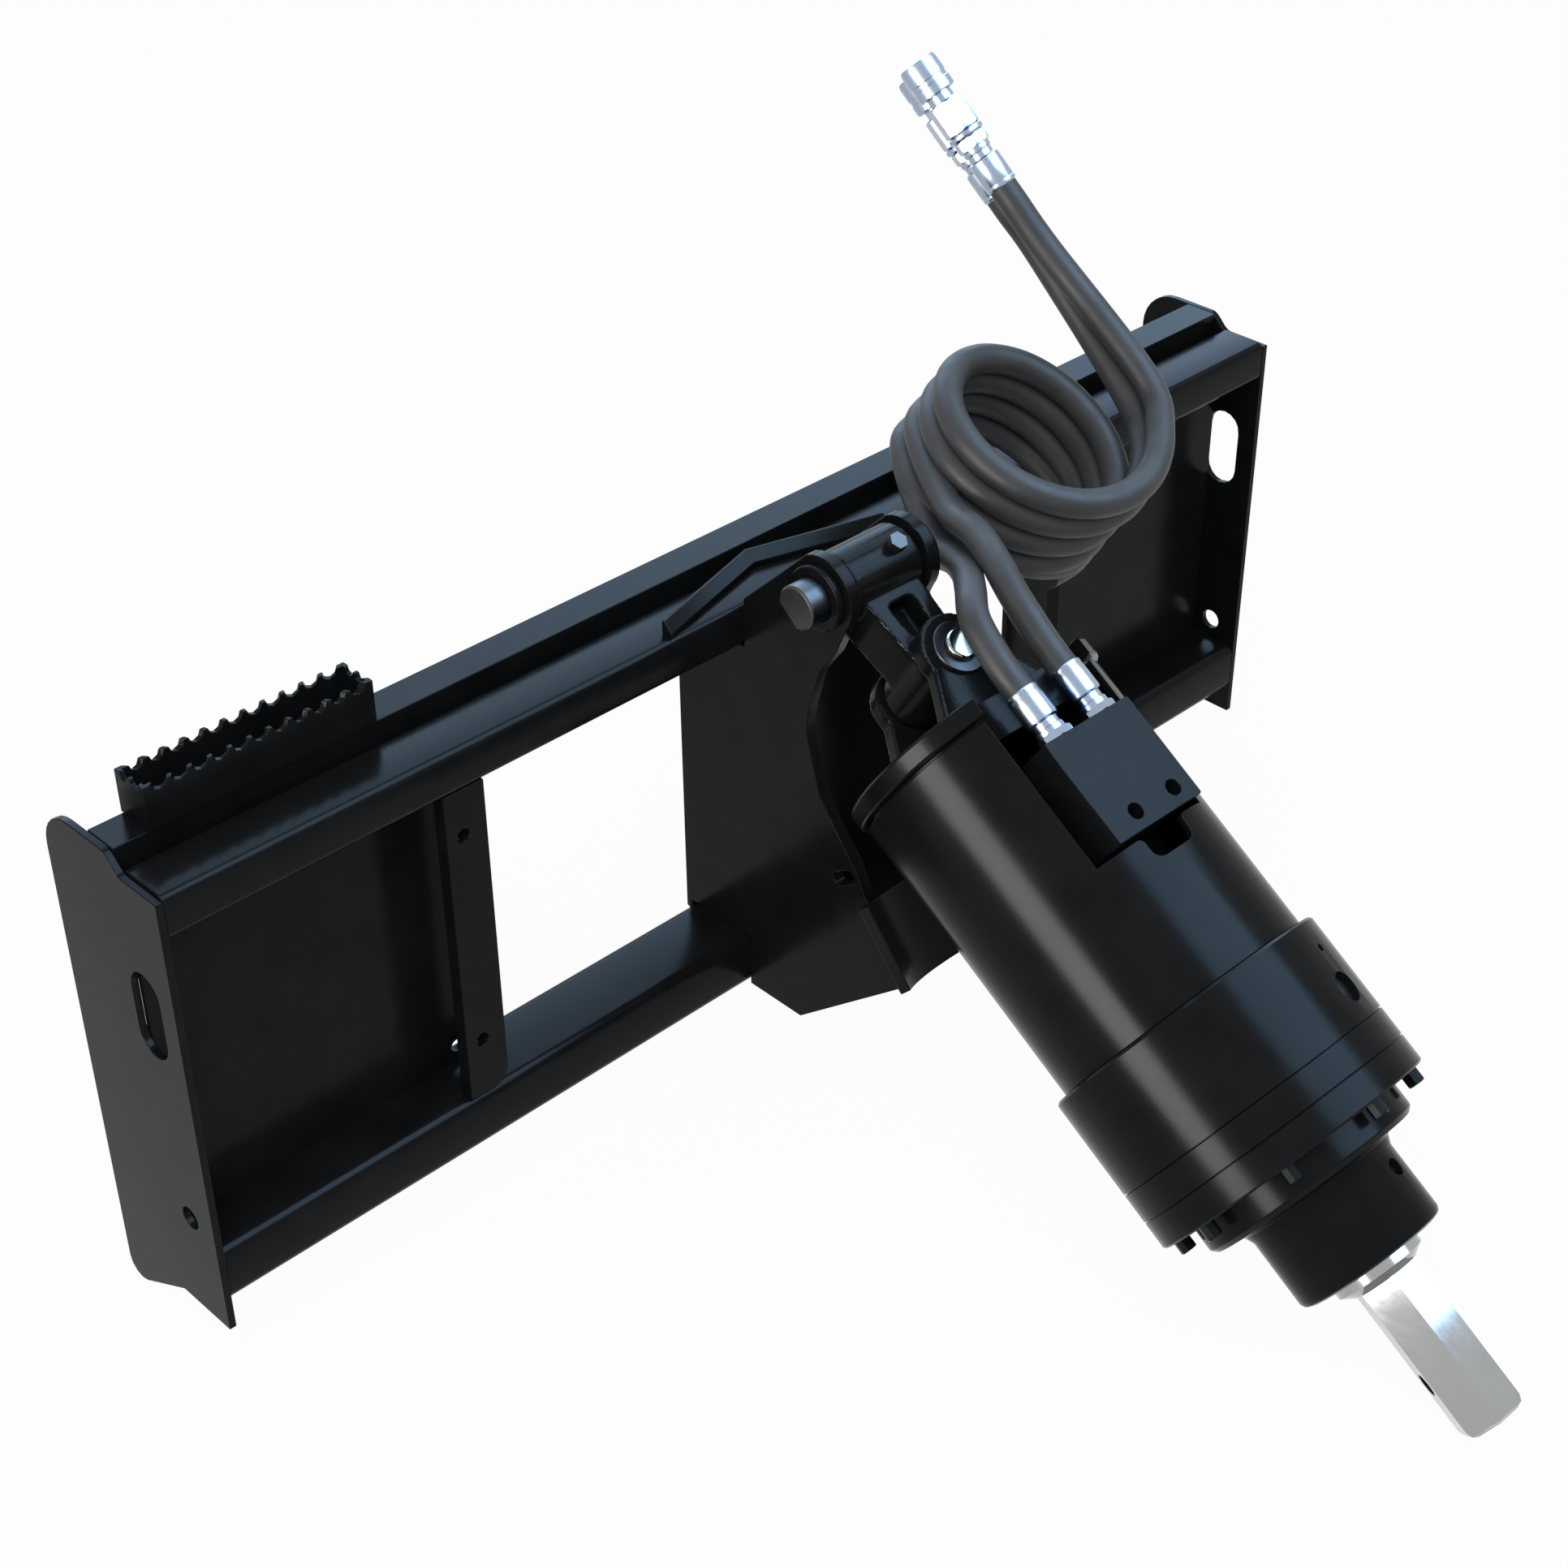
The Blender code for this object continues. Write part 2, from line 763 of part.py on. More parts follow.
# Upper pin with a flat at its left end, and its collars
pin_left = HITCH_X - GUSSET_IN - GUSSET_T - PIN_LEFT
pin_right = HITCH_X + GUSSET_IN + GUSSET_T + PIN_RIGHT
pin_matrix = axes((pin_left, PIN_Y, PIN_Z), (0, 1, 0), (0, 0, 1))
upper_pin = turned(
    "upper_pin",
    [
        (0, 0),
        (PIN_R - 0.0015, 0),
        (PIN_R, 0.0015),
        (PIN_R, pin_right - pin_left - 0.0015),
        (PIN_R - 0.0015, pin_right - pin_left),
        (0, pin_right - pin_left),
    ],
    pin_matrix,
    DARK,
    24,
    pivot=PIN,
)
flat_tool = slab(
    "pin_flat_cutter",
    [box_loop(-0.03, 0.03, -0.05, -PIN_R + PIN_FLAT)],
    0.02,
    axes((pin_left - 0.01, PIN_Y, PIN_Z), (0, cos(0.7), sin(0.7)), (0, -sin(0.7), cos(0.7))),
    DARK,
)
boolean(upper_pin, flat_tool, "DIFFERENCE")


def ring_maker(matrix, inner, outer, height, steps=24, bevel=0.001):
    profile = [
        (inner, 0),
        (outer - bevel, 0),
        (outer, bevel),
        (outer, height - bevel),
        (outer - bevel, height),
        (inner, height),
    ]
    return lambda bm: turn_profile(bm, profile, matrix, steps)


def disc_maker(matrix, outer, height, steps=20, bevel=0.001):
    profile = [
        (0, 0),
        (outer - bevel, 0),
        (outer, bevel),
        (outer, height - bevel),
        (outer - bevel, height),
        (0, height),
    ]
    return lambda bm: turn_profile(bm, profile, matrix, steps)


def prism_maker(matrix, loops, height):
    return lambda bm: extrude_loops(bm, loops, height, matrix)


collar_left = HITCH_X - GUSSET_IN - GUSSET_T - SEAM - PIN_COLLAR_T
collar_right = HITCH_X + GUSSET_IN + GUSSET_T + SEAM
for label, x in (("left", collar_left), ("right", collar_right)):
    place = axes((x, PIN_Y, PIN_Z), (0, 1, 0), (0, 0, 1))
    several("pin_collar_" + label, [ring_maker(place, PIN_R + SEAM, PIN_COLLAR_R, PIN_COLLAR_T)], CAST)

# Link between the two pins
LINK_HALF = GUSSET_IN - 0.0015
BUSH_OUT = PIN_R + RUN + BUSH_WALL
LOWER_BUSH = LOWER_PIN_R + RUN
BOSS_HALF = EAR_IN - 0.001
link_matrix = axes(PIN - X * LINK_HALF, (0, 1, 0), (0, 0, 1))
link = turned(
    "link_casting",
    [
        (BUSH_OUT + SEAM, 0),
        (LINK_TUBE_R - 0.002, 0),
        (LINK_TUBE_R, 0.002),
        (LINK_TUBE_R, 2 * LINK_HALF - 0.002),
        (LINK_TUBE_R - 0.002, 2 * LINK_HALF),
        (BUSH_OUT + SEAM, 2 * LINK_HALF),
    ],
    link_matrix,
    CAST,
    32,
    pivot=PIN,
)
boss_tool = turned(
    "link_boss_tool",
    [
        (0, 0),
        (LINK_BOSS_R - 0.002, 0),
        (LINK_BOSS_R, 0.002),
        (LINK_BOSS_R, 2 * BOSS_HALF - 0.002),
        (LINK_BOSS_R - 0.002, 2 * BOSS_HALF),
        (0, 2 * BOSS_HALF),
    ],
    axes(drive_point(0, -BOSS_HALF, SWING_S), X, -DOWN_AXIS),
    CAST,
    32,
)
web_loop = rounded(
    [
        (-LINK_WEB, -PIN_ABOVE + 0.012),
        (LINK_WEB, -PIN_ABOVE + 0.012),
        (LINK_BOSS_R * 0.86, SWING_S + 0.004),
        (-LINK_BOSS_R * 0.86, SWING_S + 0.004),
    ],
    0.002,
)
WEB_BACK = -0.014
WEB_FRONT = 0.027
web_tool = slab(
    "link_web_tool",
    [[(p[0], -p[1]) for p in web_loop]],
    WEB_FRONT - WEB_BACK,
    axes(drive_point(0, WEB_BACK, 0), X, -DOWN_AXIS),
    CAST,
)
pin_clear = turned(
    "link_bore_tool",
    [(0, 0), (BUSH_OUT + SEAM, 0), (BUSH_OUT + SEAM, 0.2), (0, 0.2)],
    axes(PIN - X * 0.1, (0, 1, 0), (0, 0, 1)),
    CAST,
    24,
)
lower_bore = turned(
    "link_lower_bore_tool",
    [(0, 0), (LOWER_BUSH, 0), (LOWER_BUSH, 0.2), (0, 0.2)],
    axes(drive_point(0, -0.1, SWING_S), X, -DOWN_AXIS),
    CAST,
    24,
)
pocket_loop = rounded(
    [
        (-POCKET_HALF, 0.024),
        (POCKET_HALF, 0.024),
        (POCKET_HALF * 0.8, 0.053),
        (-POCKET_HALF * 0.8, 0.053),
    ],
    0.005,
)
pocket_tool = slab(
    "link_pocket_tool",
    [[(p[0], -p[1]) for p in pocket_loop]],
    POCKET_DEPTH + 0.02,
    axes(drive_point(0, WEB_FRONT - POCKET_DEPTH, 0), X, -DOWN_AXIS),
    CAST,
)
boolean(link, boss_tool, "UNION")
boolean(link, web_tool, "UNION")
boolean(link, pin_clear, "DIFFERENCE")
boolean(link, lower_bore, "DIFFERENCE")
boolean(link, pocket_tool, "DIFFERENCE")

bush_left = HITCH_X - LINK_HALF + 0.001
bush_right = HITCH_X + LINK_HALF - 0.001 - BUSH_L
for label, x in (("left", bush_left), ("right", bush_right)):
    place = axes((x, PIN_Y, PIN_Z), (0, 1, 0), (0, 0, 1))
    several(
        "link_bush_" + label, [ring_maker(place, PIN_R + RUN, BUSH_OUT, BUSH_L, 24, 0.0005)], BRONZE, PIN
    )


def hexagon(across, turn=0.0):
    return circle(0, 0, across / sqrt(3), 6, turn)


bolt_place = axes(PIN + FRONT_AXIS * (LINK_TUBE_R + SEAM) + X * LINK_BOLT_X, X, -DOWN_AXIS)
several("link_bolt", [prism_maker(bolt_place, [hexagon(BOLT_AF)], BOLT_HEAD)], DARK, PIN)

# Lower pin through the ears, with its washers
SWING = drive_point(0, 0, SWING_S)
EAR_OUT = EAR_IN + EAR_T
PIN2_HALF = EAR_OUT + WASHER_T + LOWER_PIN_OUT
turned(
    "lower_pin",
    [
        (0, 0),
        (LOWER_PIN_R - 0.0015, 0),
        (LOWER_PIN_R, 0.0015),
        (LOWER_PIN_R, 2 * PIN2_HALF - 0.0015),
        (LOWER_PIN_R - 0.0015, 2 * PIN2_HALF),
        (0, 2 * PIN2_HALF),
    ],
    axes(drive_point(0, -PIN2_HALF, SWING_S), X, -DOWN_AXIS),
    STEEL,
    24,
    pivot=SWING,
)
for label, a in (("front", EAR_OUT + SEAM), ("rear", -EAR_OUT - SEAM - WASHER_T)):
    place = axes(drive_point(0, a, SWING_S), X, -DOWN_AXIS)
    several(
        "pin_washer_" + label,
        [ring_maker(place, LOWER_PIN_R + SEAM, WASHER_R, WASHER_T, 24, 0.0004)],
        DARK,
        SWING,
    )


# Ears on the cap
def ear_loop():
    low = CAP_S - SEAM
    lobe = arc(0, -SWING_S, EAR_R, radians(-12), radians(192), 14)
    return lobe + [(-EAR_FOOT, -low), (EAR_FOOT, -low)]


for label, a in (("front", EAR_IN), ("rear", -EAR_OUT)):
    slab(
        "ear_" + label,
        [ear_loop(), circle(0, -SWING_S, LOWER_PIN_R + SEAM, 24)],
        EAR_T,
        axes(drive_point(0, a, 0), X, -DOWN_AXIS),
        CAST,
        pivot=SWING,
    )

# Top cap with its spigot, cut away where the hoses pass
HOOD_S = CAP_S + CAP_T + CAP_GROOVE
SPIGOT_R = HOOD_R - HOOD_WALL - SEAM
cap = turned(
    "top_cap",
    [
        (0, 0),
        (CAP_R - 0.002, 0),
        (CAP_R, 0.002),
        (CAP_R, CAP_T - 0.001),
        (CAP_R - 0.001, CAP_T),
        (SPIGOT_R, CAP_T),
        (SPIGOT_R, CAP_T + CAP_GROOVE + CAP_SPIGOT),
        (0, CAP_T + CAP_GROOVE + CAP_SPIGOT),
    ],
    along_drive(CAP_S),
    CAST,
    48,
    pivot=SWING,
)
CUT_END = BLOCK_S + BLOCK_H + CUT_END_GAP


def cut_loop():
    corner = rounded(
        [
            (CUT_HALF, CUT_END),
            (TAB_RIGHT, CUT_END),
            (TAB_RIGHT, CUT_END + TAB_LENGTH),
            (TAB_LEFT, CUT_END + TAB_LENGTH),
            (TAB_LEFT, CUT_END),
            (-CUT_HALF, CUT_END),
            (-CUT_HALF, CAP_S - 0.02),
            (CUT_HALF, CAP_S - 0.02),
        ],
        [0, TAB_R * 0.6, TAB_R, TAB_R, TAB_R * 0.6, 0, 0, 0],
    )
    return [(p[0], -p[1]) for p in corner]


def hood_tool(name):
    return slab(name, [cut_loop()], 0.08, axes(drive_point(0, CUT_DEPTH, 0), X, -DOWN_AXIS), CAST)


boolean(cap, hood_tool("cap_window_tool"), "DIFFERENCE")

# Hood tube
hood = turned(
    "hood_tube",
    [
        (HOOD_R - HOOD_WALL, 0),
        (HOOD_R, 0),
        (HOOD_R, HOUSING_S - SEAM - HOOD_S),
        (HOOD_R - HOOD_WALL, HOUSING_S - SEAM - HOOD_S),
    ],
    along_drive(HOOD_S),
    PAINT,
    48,
    pivot=SWING,
)
boolean(hood, hood_tool("hood_window_tool"), "DIFFERENCE")

# Hydraulic motor
MOTOR_S = BLOCK_S + 0.006
MOTOR_END = HOUSING_S - SEAM
turned(
    "motor_body",
    [
        (0, 0),
        (MOTOR_R - 0.003, 0),
        (MOTOR_R, 0.003),
        (MOTOR_R, MOTOR_END - MOTOR_S - MOTOR_FLANGE_T),
        (MOTOR_FLANGE_R, MOTOR_END - MOTOR_S - MOTOR_FLANGE_T),
        (MOTOR_FLANGE_R, MOTOR_END - MOTOR_S),
        (MOTOR_R - MOTOR_WALL, MOTOR_END - MOTOR_S),
        (MOTOR_R - MOTOR_WALL, MOTOR_CAP),
        (0, MOTOR_CAP),
    ],
    along_drive(MOTOR_S),
    CAST,
    32,
    pivot=SWING,
)

# Port block on the motor
BLOCK_BACK = MOTOR_R + SEAM
block_holes = [circle(x, -BLOCK_HOLE_S, BLOCK_HOLE_R, 16) for x in BLOCK_HOLE_X]
slab(
    "port_block",
    [box_loop(BLOCK_LEFT, BLOCK_RIGHT, -BLOCK_S - BLOCK_H, -BLOCK_S, 0.001, 2)] + block_holes,
    BLOCK_FRONT - BLOCK_BACK,
    axes(drive_point(0, BLOCK_BACK, 0), X, -DOWN_AXIS),
    PAINT,
    pivot=SWING,
)
for label, x in zip(("left", "right"), BLOCK_HOLE_X):
    reach = BLOCK_FRONT - BLOCK_SCREW_SUNK - BLOCK_SCREW_L
    place = axes(drive_point(x, reach, BLOCK_HOLE_S), X, -DOWN_AXIS)
    screw = disc_maker(place, BLOCK_HOLE_R - SEAM, BLOCK_SCREW_L, 16, 0.0005)
    several("block_screw_" + label, [screw], DARK, SWING)
NUT_S = BLOCK_S - SEAM - NUT_H
FERRULE_S = NUT_S - FERRULE_L
for label, x in zip(("a", "b"), PORT_X):
    nut = prism_maker(along_drive(NUT_S, x, PORT_A), [hexagon(NUT_AF, radians(12))], NUT_H)
    fitting = several("port_fitting_" + label, [nut], ZINC, SWING)
    ferrule = disc_maker(along_drive(FERRULE_S, x, PORT_A), FERRULE_R, FERRULE_L + 0.001, 20, 0.0015)
    boolean(fitting, several("ferrule_tool_" + label, [ferrule], ZINC), "UNION")

# Planetary housing
housing = turned(
    "gear_housing",
    [
        (SUN_TEETH * MODULE / 2 + 0.006, 0),
        (HOUSING_R - 0.002, 0),
        (HOUSING_R, 0.002),
        (HOUSING_R, HOUSING_H - GROOVE_W / 2),
        (HOUSING_R - GROOVE_D, HOUSING_H - GROOVE_W / 2),
        (HOUSING_R - GROOVE_D, HOUSING_H - SEAM / 2),
        (HOUSING_BORE, HOUSING_H - SEAM / 2),
        (HOUSING_BORE, 0.014),
        (SUN_TEETH * MODULE / 2 + 0.006, 0.014),
    ],
    along_drive(HOUSING_S),
    PAINT,
    48,
    pivot=SWING,
)
plug_tool = turned(
    "plug_bore_tool",
    [(0, 0), (PLUG_R, 0), (PLUG_R, 0.06), (0, 0.06)],
    radial(PLUG_S, PLUG_TURN, HOUSING_BORE - 0.01),
    PAINT,
    20,
)
bleed_tool = turned(
    "bleed_bore_tool",
    [(0, 0), (BLEED_R, 0), (BLEED_R, 0.03), (0, 0.03)],
    radial(BLEED_S, BLEED_TURN, HOUSING_R - BLEED_D),
    PAINT,
    12,
)
boolean(housing, plug_tool, "DIFFERENCE")
boolean(housing, bleed_tool, "DIFFERENCE")
several(
    "level_plug",
    [
        disc_maker(
            radial(PLUG_S, PLUG_TURN, HOUSING_BORE + 0.002),
            PLUG_R - SEAM,
            HOUSING_R - HOUSING_BORE - 0.002 - PLUG_SUNK,
            20,
            0.0005,
        )
    ],
    DARK,
    pivot=SWING,
)


# Gears
def gear_loop(teeth, inward=False, phase=0.0):
    """Straight sided teeth with free play: tips point out, or in for the ring."""
    pitch = 2 * pi / teeth
    radius = teeth * MODULE / 2
    sign = -1 if inward else 1
    tip = radius + sign * ADDENDUM * MODULE
    root = radius - sign * DEDENDUM * MODULE
    out = []
    for i in range(teeth):
        middle = phase + i * pitch
        for share, r in ((-0.29, root), (-0.13, tip), (0.13, tip), (0.29, root)):
            out.append((r * cos(middle + share * pitch), r * sin(middle + share * pitch)))
    return out


RING_S = HOUSING_S + HOUSING_H
RING_END = RING_S + RING_H
slab(
    "ring_gear",
    [circle(0, 0, HOUSING_R, 48), gear_loop(RING_TEETH, True)],
    RING_H - SEAM,
    along_drive(RING_S + SEAM / 2),
    PAINT,
    pivot=SWING,
)
GEAR_S = RING_S + GEAR_END
GEAR_H = RING_H - 2 * GEAR_END
PLANET_ORBIT = (SUN_TEETH + PLANET_TEETH) * MODULE / 2
for k in range(PLANETS):
    angle = 2 * pi * k / PLANETS
    centre = drive_point(PLANET_ORBIT * cos(angle), PLANET_ORBIT * sin(angle), 0)
    phase = angle + pi + pi / PLANET_TEETH
    slab(
        "planet_%d" % (k + 1),
        [gear_loop(PLANET_TEETH, False, phase), circle(0, 0, PLANET_PIN_R + SEAM, 16)],
        GEAR_H,
        axes(centre + DOWN_AXIS * GEAR_S, X, FRONT_AXIS),
        GEAR,
        pivot=centre + DOWN_AXIS * GEAR_S,
    )

# Rotor of the motor with the sun gear on its shaft
ROTOR_S = MOTOR_S + MOTOR_CAP + 0.004
SUN_SHAFT_R = SUN_TEETH * MODULE / 2 - DEDENDUM * MODULE - 0.002
rotor = turned(
    "rotor_sun",
    [
        (0, 0),
        (MOTOR_R - MOTOR_WALL - RUN, 0),
        (MOTOR_R - MOTOR_WALL - RUN, 0.120),
        (SUN_SHAFT_R, 0.120),
        (SUN_SHAFT_R, GEAR_S + 0.002 - ROTOR_S),
        (0, GEAR_S + 0.002 - ROTOR_S),
    ],
    along_drive(ROTOR_S),
    GEAR,
    24,
    pivot=drive_point(0, 0, GEAR_S),
)
sun_tool = slab("sun_teeth_tool", [gear_loop(SUN_TEETH)], GEAR_H, along_drive(GEAR_S), GEAR)
boolean(rotor, sun_tool, "UNION")

# Lower flange and bearing housing
FLANGE_S = RING_END
flange = turned(
    "lower_flange",
    [
        (FLANGE_BORE, SEAM / 2),
        (HOUSING_R - GROOVE_D, SEAM / 2),
        (HOUSING_R - GROOVE_D, GROOVE_W / 2),
        (HOUSING_R, GROOVE_W / 2),
        (HOUSING_R, FLANGE_H - 0.0015),
        (HOUSING_R - 0.0015, FLANGE_H),
        (FLANGE_BORE, FLANGE_H),
    ],
    along_drive(FLANGE_S),
    PAINT,
    48,
    pivot=SWING,
)
RIM_S = FLANGE_S + FLANGE_H + SEAM
neck = turned(
    "bearing_housing",
    [
        (NECK_BORE, 0),
        (RIM_R, 0),
        (RIM_R, RIM_H - 0.004),
        (RIM_R - 0.004, RIM_H),
        (NECK_R + NECK_FILLET, RIM_H),
        (NECK_R + NECK_FILLET * 0.3, RIM_H + NECK_FILLET * 0.3),
        (NECK_R, RIM_H + NECK_FILLET),
        (NECK_R, RIM_H + NECK_H - 0.005),
        (NECK_R - 0.0015, RIM_H + NECK_H - 0.0015),
        (NECK_R - 0.005, RIM_H + NECK_H),
        (NECK_BORE, RIM_H + NECK_H),
    ],
    along_drive(RIM_S),
    PAINT,
    48,
    pivot=SWING,
)
grease_tool = turned(
    "grease_bore_tool",
    [(0, 0), (GREASE_R, 0), (GREASE_R, 0.03), (0, 0.03)],
    radial(GREASE_S, GREASE_TURN, NECK_R - GREASE_D),
    PAINT,
    14,
)
boolean(neck, grease_tool, "DIFFERENCE")
NECK_END = RIM_S + RIM_H + NECK_H
for label, s in (("upper", BEARING_UPPER_S), ("lower", BEARING_LOWER_S)):
    bearing = ring_maker(along_drive(s), SHAFT_R + SEAM, NECK_BORE - SEAM, BEARING_H, 24, 0.0008)
    several("bearing_" + label, [bearing], STEEL, SWING)
seal_place = along_drive(NECK_END - 0.001 - SEAL_H)
seal = ring_maker(seal_place, SHAFT_R + SEAM, NECK_BORE - SEAM, SEAL_H, 24, 0.0008)
several("lip_seal", [seal], RUBBER, SWING)


def around(count, radius, turn=0.0):
    """Places across and to the front of the drive, evenly spread on a circle."""
    angles = [turn + 2 * pi * i / count for i in range(count)]
    return [(radius * sin(angle), radius * cos(angle)) for angle in angles]


screw_heads = [
    disc_maker(along_drive(RIM_S - 0.002, x, a), SCREW_R, SCREW_HEAD + 0.002, 8, 0.0008)
    for x, a in around(SCREWS, SCREW_CIRCLE, SCREW_TURN)
]
boolean(flange, several("screw_tool", screw_heads, DARK), "UNION")

# Carrier with the output shaft
CARRIER_S = GEAR_S + GEAR_H + GEAR_END
COLLAR_END = NECK_END + COLLAR_H
HEX_S = COLLAR_END + HEX_START
OUTPUT = drive_point(0, 0, HEX_S)
shaft = turned(
    "output_shaft",
    [
        (0, 0),
        (CARRIER_R, 0),
        (CARRIER_R, CARRIER_T),
        (SHAFT_R + 0.004, CARRIER_T),
        (SHAFT_R + 0.004, BEARING_UPPER_S - SEAM - CARRIER_S),
        (SHAFT_R, BEARING_UPPER_S - SEAM - CARRIER_S),
        (SHAFT_R, NECK_END - CARRIER_S),
        (COLLAR_R, NECK_END - CARRIER_S),
        (COLLAR_R, COLLAR_END - CARRIER_S),
        (HEX_R * 0.97, HEX_S - CARRIER_S),
        (0, HEX_S - CARRIER_S),
    ],
    along_drive(CARRIER_S),
    STEEL,
    36,
    pivot=OUTPUT,
)


def hex_bar():
    bm = bmesh.new()
    start = HEX_S - 0.004
    loops = []
    for s, r in (
        (start, HEX_R),
        (HEX_TIP - HEX_CHAMFER, HEX_R),
        (HEX_TIP - HEX_CHAMFER * 0.35, HEX_R - HEX_CHAMFER * 0.3),
        (HEX_TIP, HEX_R - HEX_CHAMFER),
    ):
        loop = []
        for i in range(6):
            angle = HEX_TURN + i * pi / 3
            loop.append(bm.verts.new(drive_point(r * sin(angle), r * cos(angle), s)))
        loops.append(loop)
    for k in range(3):
        for i in range(6):
            bm.faces.new((loops[k][i - 1], loops[k][i], loops[k + 1][i], loops[k + 1][i - 1]))
    bm.faces.new(loops[0])
    bm.faces.new(loops[3])
    return finish_mesh("hex_tool", bm, STEEL)


cross_tool = turned(
    "cross_hole_tool",
    [(0, 0), (CROSS_R, 0), (CROSS_R, 0.08), (0, 0.08)],
    radial(CROSS_S, HEX_TURN + pi / 6, -0.04),
    STEEL,
    20,
)
boolean(shaft, hex_bar(), "UNION")
boolean(shaft, cross_tool, "DIFFERENCE")
pins = []
for k in range(PLANETS):
    angle = 2 * pi * k / PLANETS
    place = along_drive(GEAR_S, PLANET_ORBIT * cos(angle), PLANET_ORBIT * sin(angle))
    pins.append(disc_maker(place, PLANET_PIN_R, CARRIER_S + 0.002 - GEAR_S, 16, 0.0005))
boolean(shaft, several("planet_pin_tool", pins, GEAR), "UNION")

# Hose coil, which leans on the upper rail
COIL_AXIS = (COIL_FAR - COIL_NEAR).normalized()
coil_start = COIL_NEAR - COIL_AXIS * HOSE_R
coil_length = (COIL_FAR - COIL_NEAR).length + 2 * HOSE_R
turned(
    "hose_coil",
    [
        (COIL_R - HOSE_R, 0.004),
        (COIL_R - HOSE_R + 0.004, 0),
        (COIL_R + HOSE_R - 0.004, 0),
        (COIL_R + HOSE_R, 0.004),
        (COIL_R + HOSE_R, coil_length - 0.004),
        (COIL_R + HOSE_R - 0.004, coil_length),
        (COIL_R - HOSE_R + 0.004, coil_length),
        (COIL_R - HOSE_R, coil_length - 0.004),
    ],
    axes(coil_start, X - COIL_AXIS * X.dot(COIL_AXIS), COIL_AXIS.cross(X)),
    RUBBER,
    48,
)


def smooth_route(points, spacing):
    """Evenly spread points along a smooth curve through the route's own points."""
    route = [Vector(p) for p in points]
    route = [2 * route[0] - route[1]] + route + [2 * route[-1] - route[-2]]
    fine = []
    for i in range(1, len(route) - 2):
        a, b, c, d = route[i - 1 : i + 3]
        for j in range(24):
            t = j / 24
            fine.append(
                0.5
                * (
                    2 * b
                    + (c - a) * t
                    + (2 * a - 5 * b + 4 * c - d) * t * t
                    + (3 * b - 3 * c + d - a) * t ** 3
                )
            )
    fine.append(route[-2])
    lengths = [0.0]
    for i in range(1, len(fine)):
        lengths.append(lengths[-1] + (fine[i] - fine[i - 1]).length)
    count = max(2, ceil(lengths[-1] / spacing))
    out = []
    k = 0
    for i in range(count + 1):
        goal = lengths[-1] * i / count
        while k < len(fine) - 2 and lengths[k + 1] < goal:
            k += 1
        share = (goal - lengths[k]) / (lengths[k + 1] - lengths[k])
        out.append(fine[k].lerp(fine[k + 1], share))
    return out


def hose(name, points, last=()):
    curve = bpy.data.curves.new(name, "CURVE")
    curve.dimensions = "3D"
    curve.bevel_depth = HOSE_R
    curve.bevel_resolution = 3
    curve.use_fill_caps = True
    route = smooth_route(points, 2.2 * HOSE_R) + list(last)
    spline = curve.splines.new("POLY")
    spline.points.add(len(route) - 1)
    for point, place in zip(spline.points, route):
        point.co = (*place, 1)
    curve.materials.append(RUBBER)
    made = bpy.data.objects.new(name, curve)
    bpy.context.collection.objects.link(made)
    made.parent = base
    return made


for label, points, x in (("a", LEAD_A, PORT_X[0]), ("b", LEAD_B, PORT_X[1])):
    start = drive_point(x, PORT_A, FERRULE_S - SEAM)
    straight = drive_point(x, PORT_A, FERRULE_S - SEAM - 0.012)
    whole = [start, straight] + [Vector(p) for p in points]
    hose("hose_lead_" + label, whole)


# Tail ends with their ferrules and couplers
def tail_frame(points):
    end = Vector(points[-1])
    direction = (end - Vector(points[-2])).normalized()
    return end, direction


def tail_axes(points, offset):
    end, direction = tail_frame(points)
    return axes(end + direction * offset, direction.cross(Vector((1, 0, 0))), direction.cross(
        direction.cross(Vector((1, 0, 0)))
    ))


TAILS = (("a", TAIL_A), ("b", TAIL_B))
for label, points in TAILS:
    end, direction = tail_frame(points)
    bend = points[:-1] + (end - direction * TAIL_STRAIGHT,)
    hose("hose_tail_" + label, bend, [end])

FERRULE_AT = SEAM
TAIL_NUT_AT = FERRULE_AT + FERRULE_L
COLLAR_AT = TAIL_NUT_AT + TAIL_NUT_L
BODY_AT = COLLAR_AT + COUPLER_COLLAR_L - 0.001 + SEAM
NOSE_L = SLEEVE_TRAVEL + 0.001 + SLEEVE_L
SLEEVE_AT = BODY_AT + COUPLER_HEX_L + SLEEVE_TRAVEL + 0.001
for label, points in TAILS:
    nut = prism_maker(tail_axes(points, TAIL_NUT_AT), [hexagon(NUT_AF)], TAIL_NUT_L)
    fitting = several("tail_fitting_" + label, [nut], ZINC)
    rest = [
        disc_maker(tail_axes(points, FERRULE_AT), FERRULE_R, FERRULE_L + 0.001, 20, 0.0015),
        disc_maker(tail_axes(points, COLLAR_AT - 0.001), COUPLER_COLLAR_R, COUPLER_COLLAR_L, 20, 0.0015),
    ]
    boolean(fitting, several("tail_tool_" + label, rest, ZINC), "UNION")
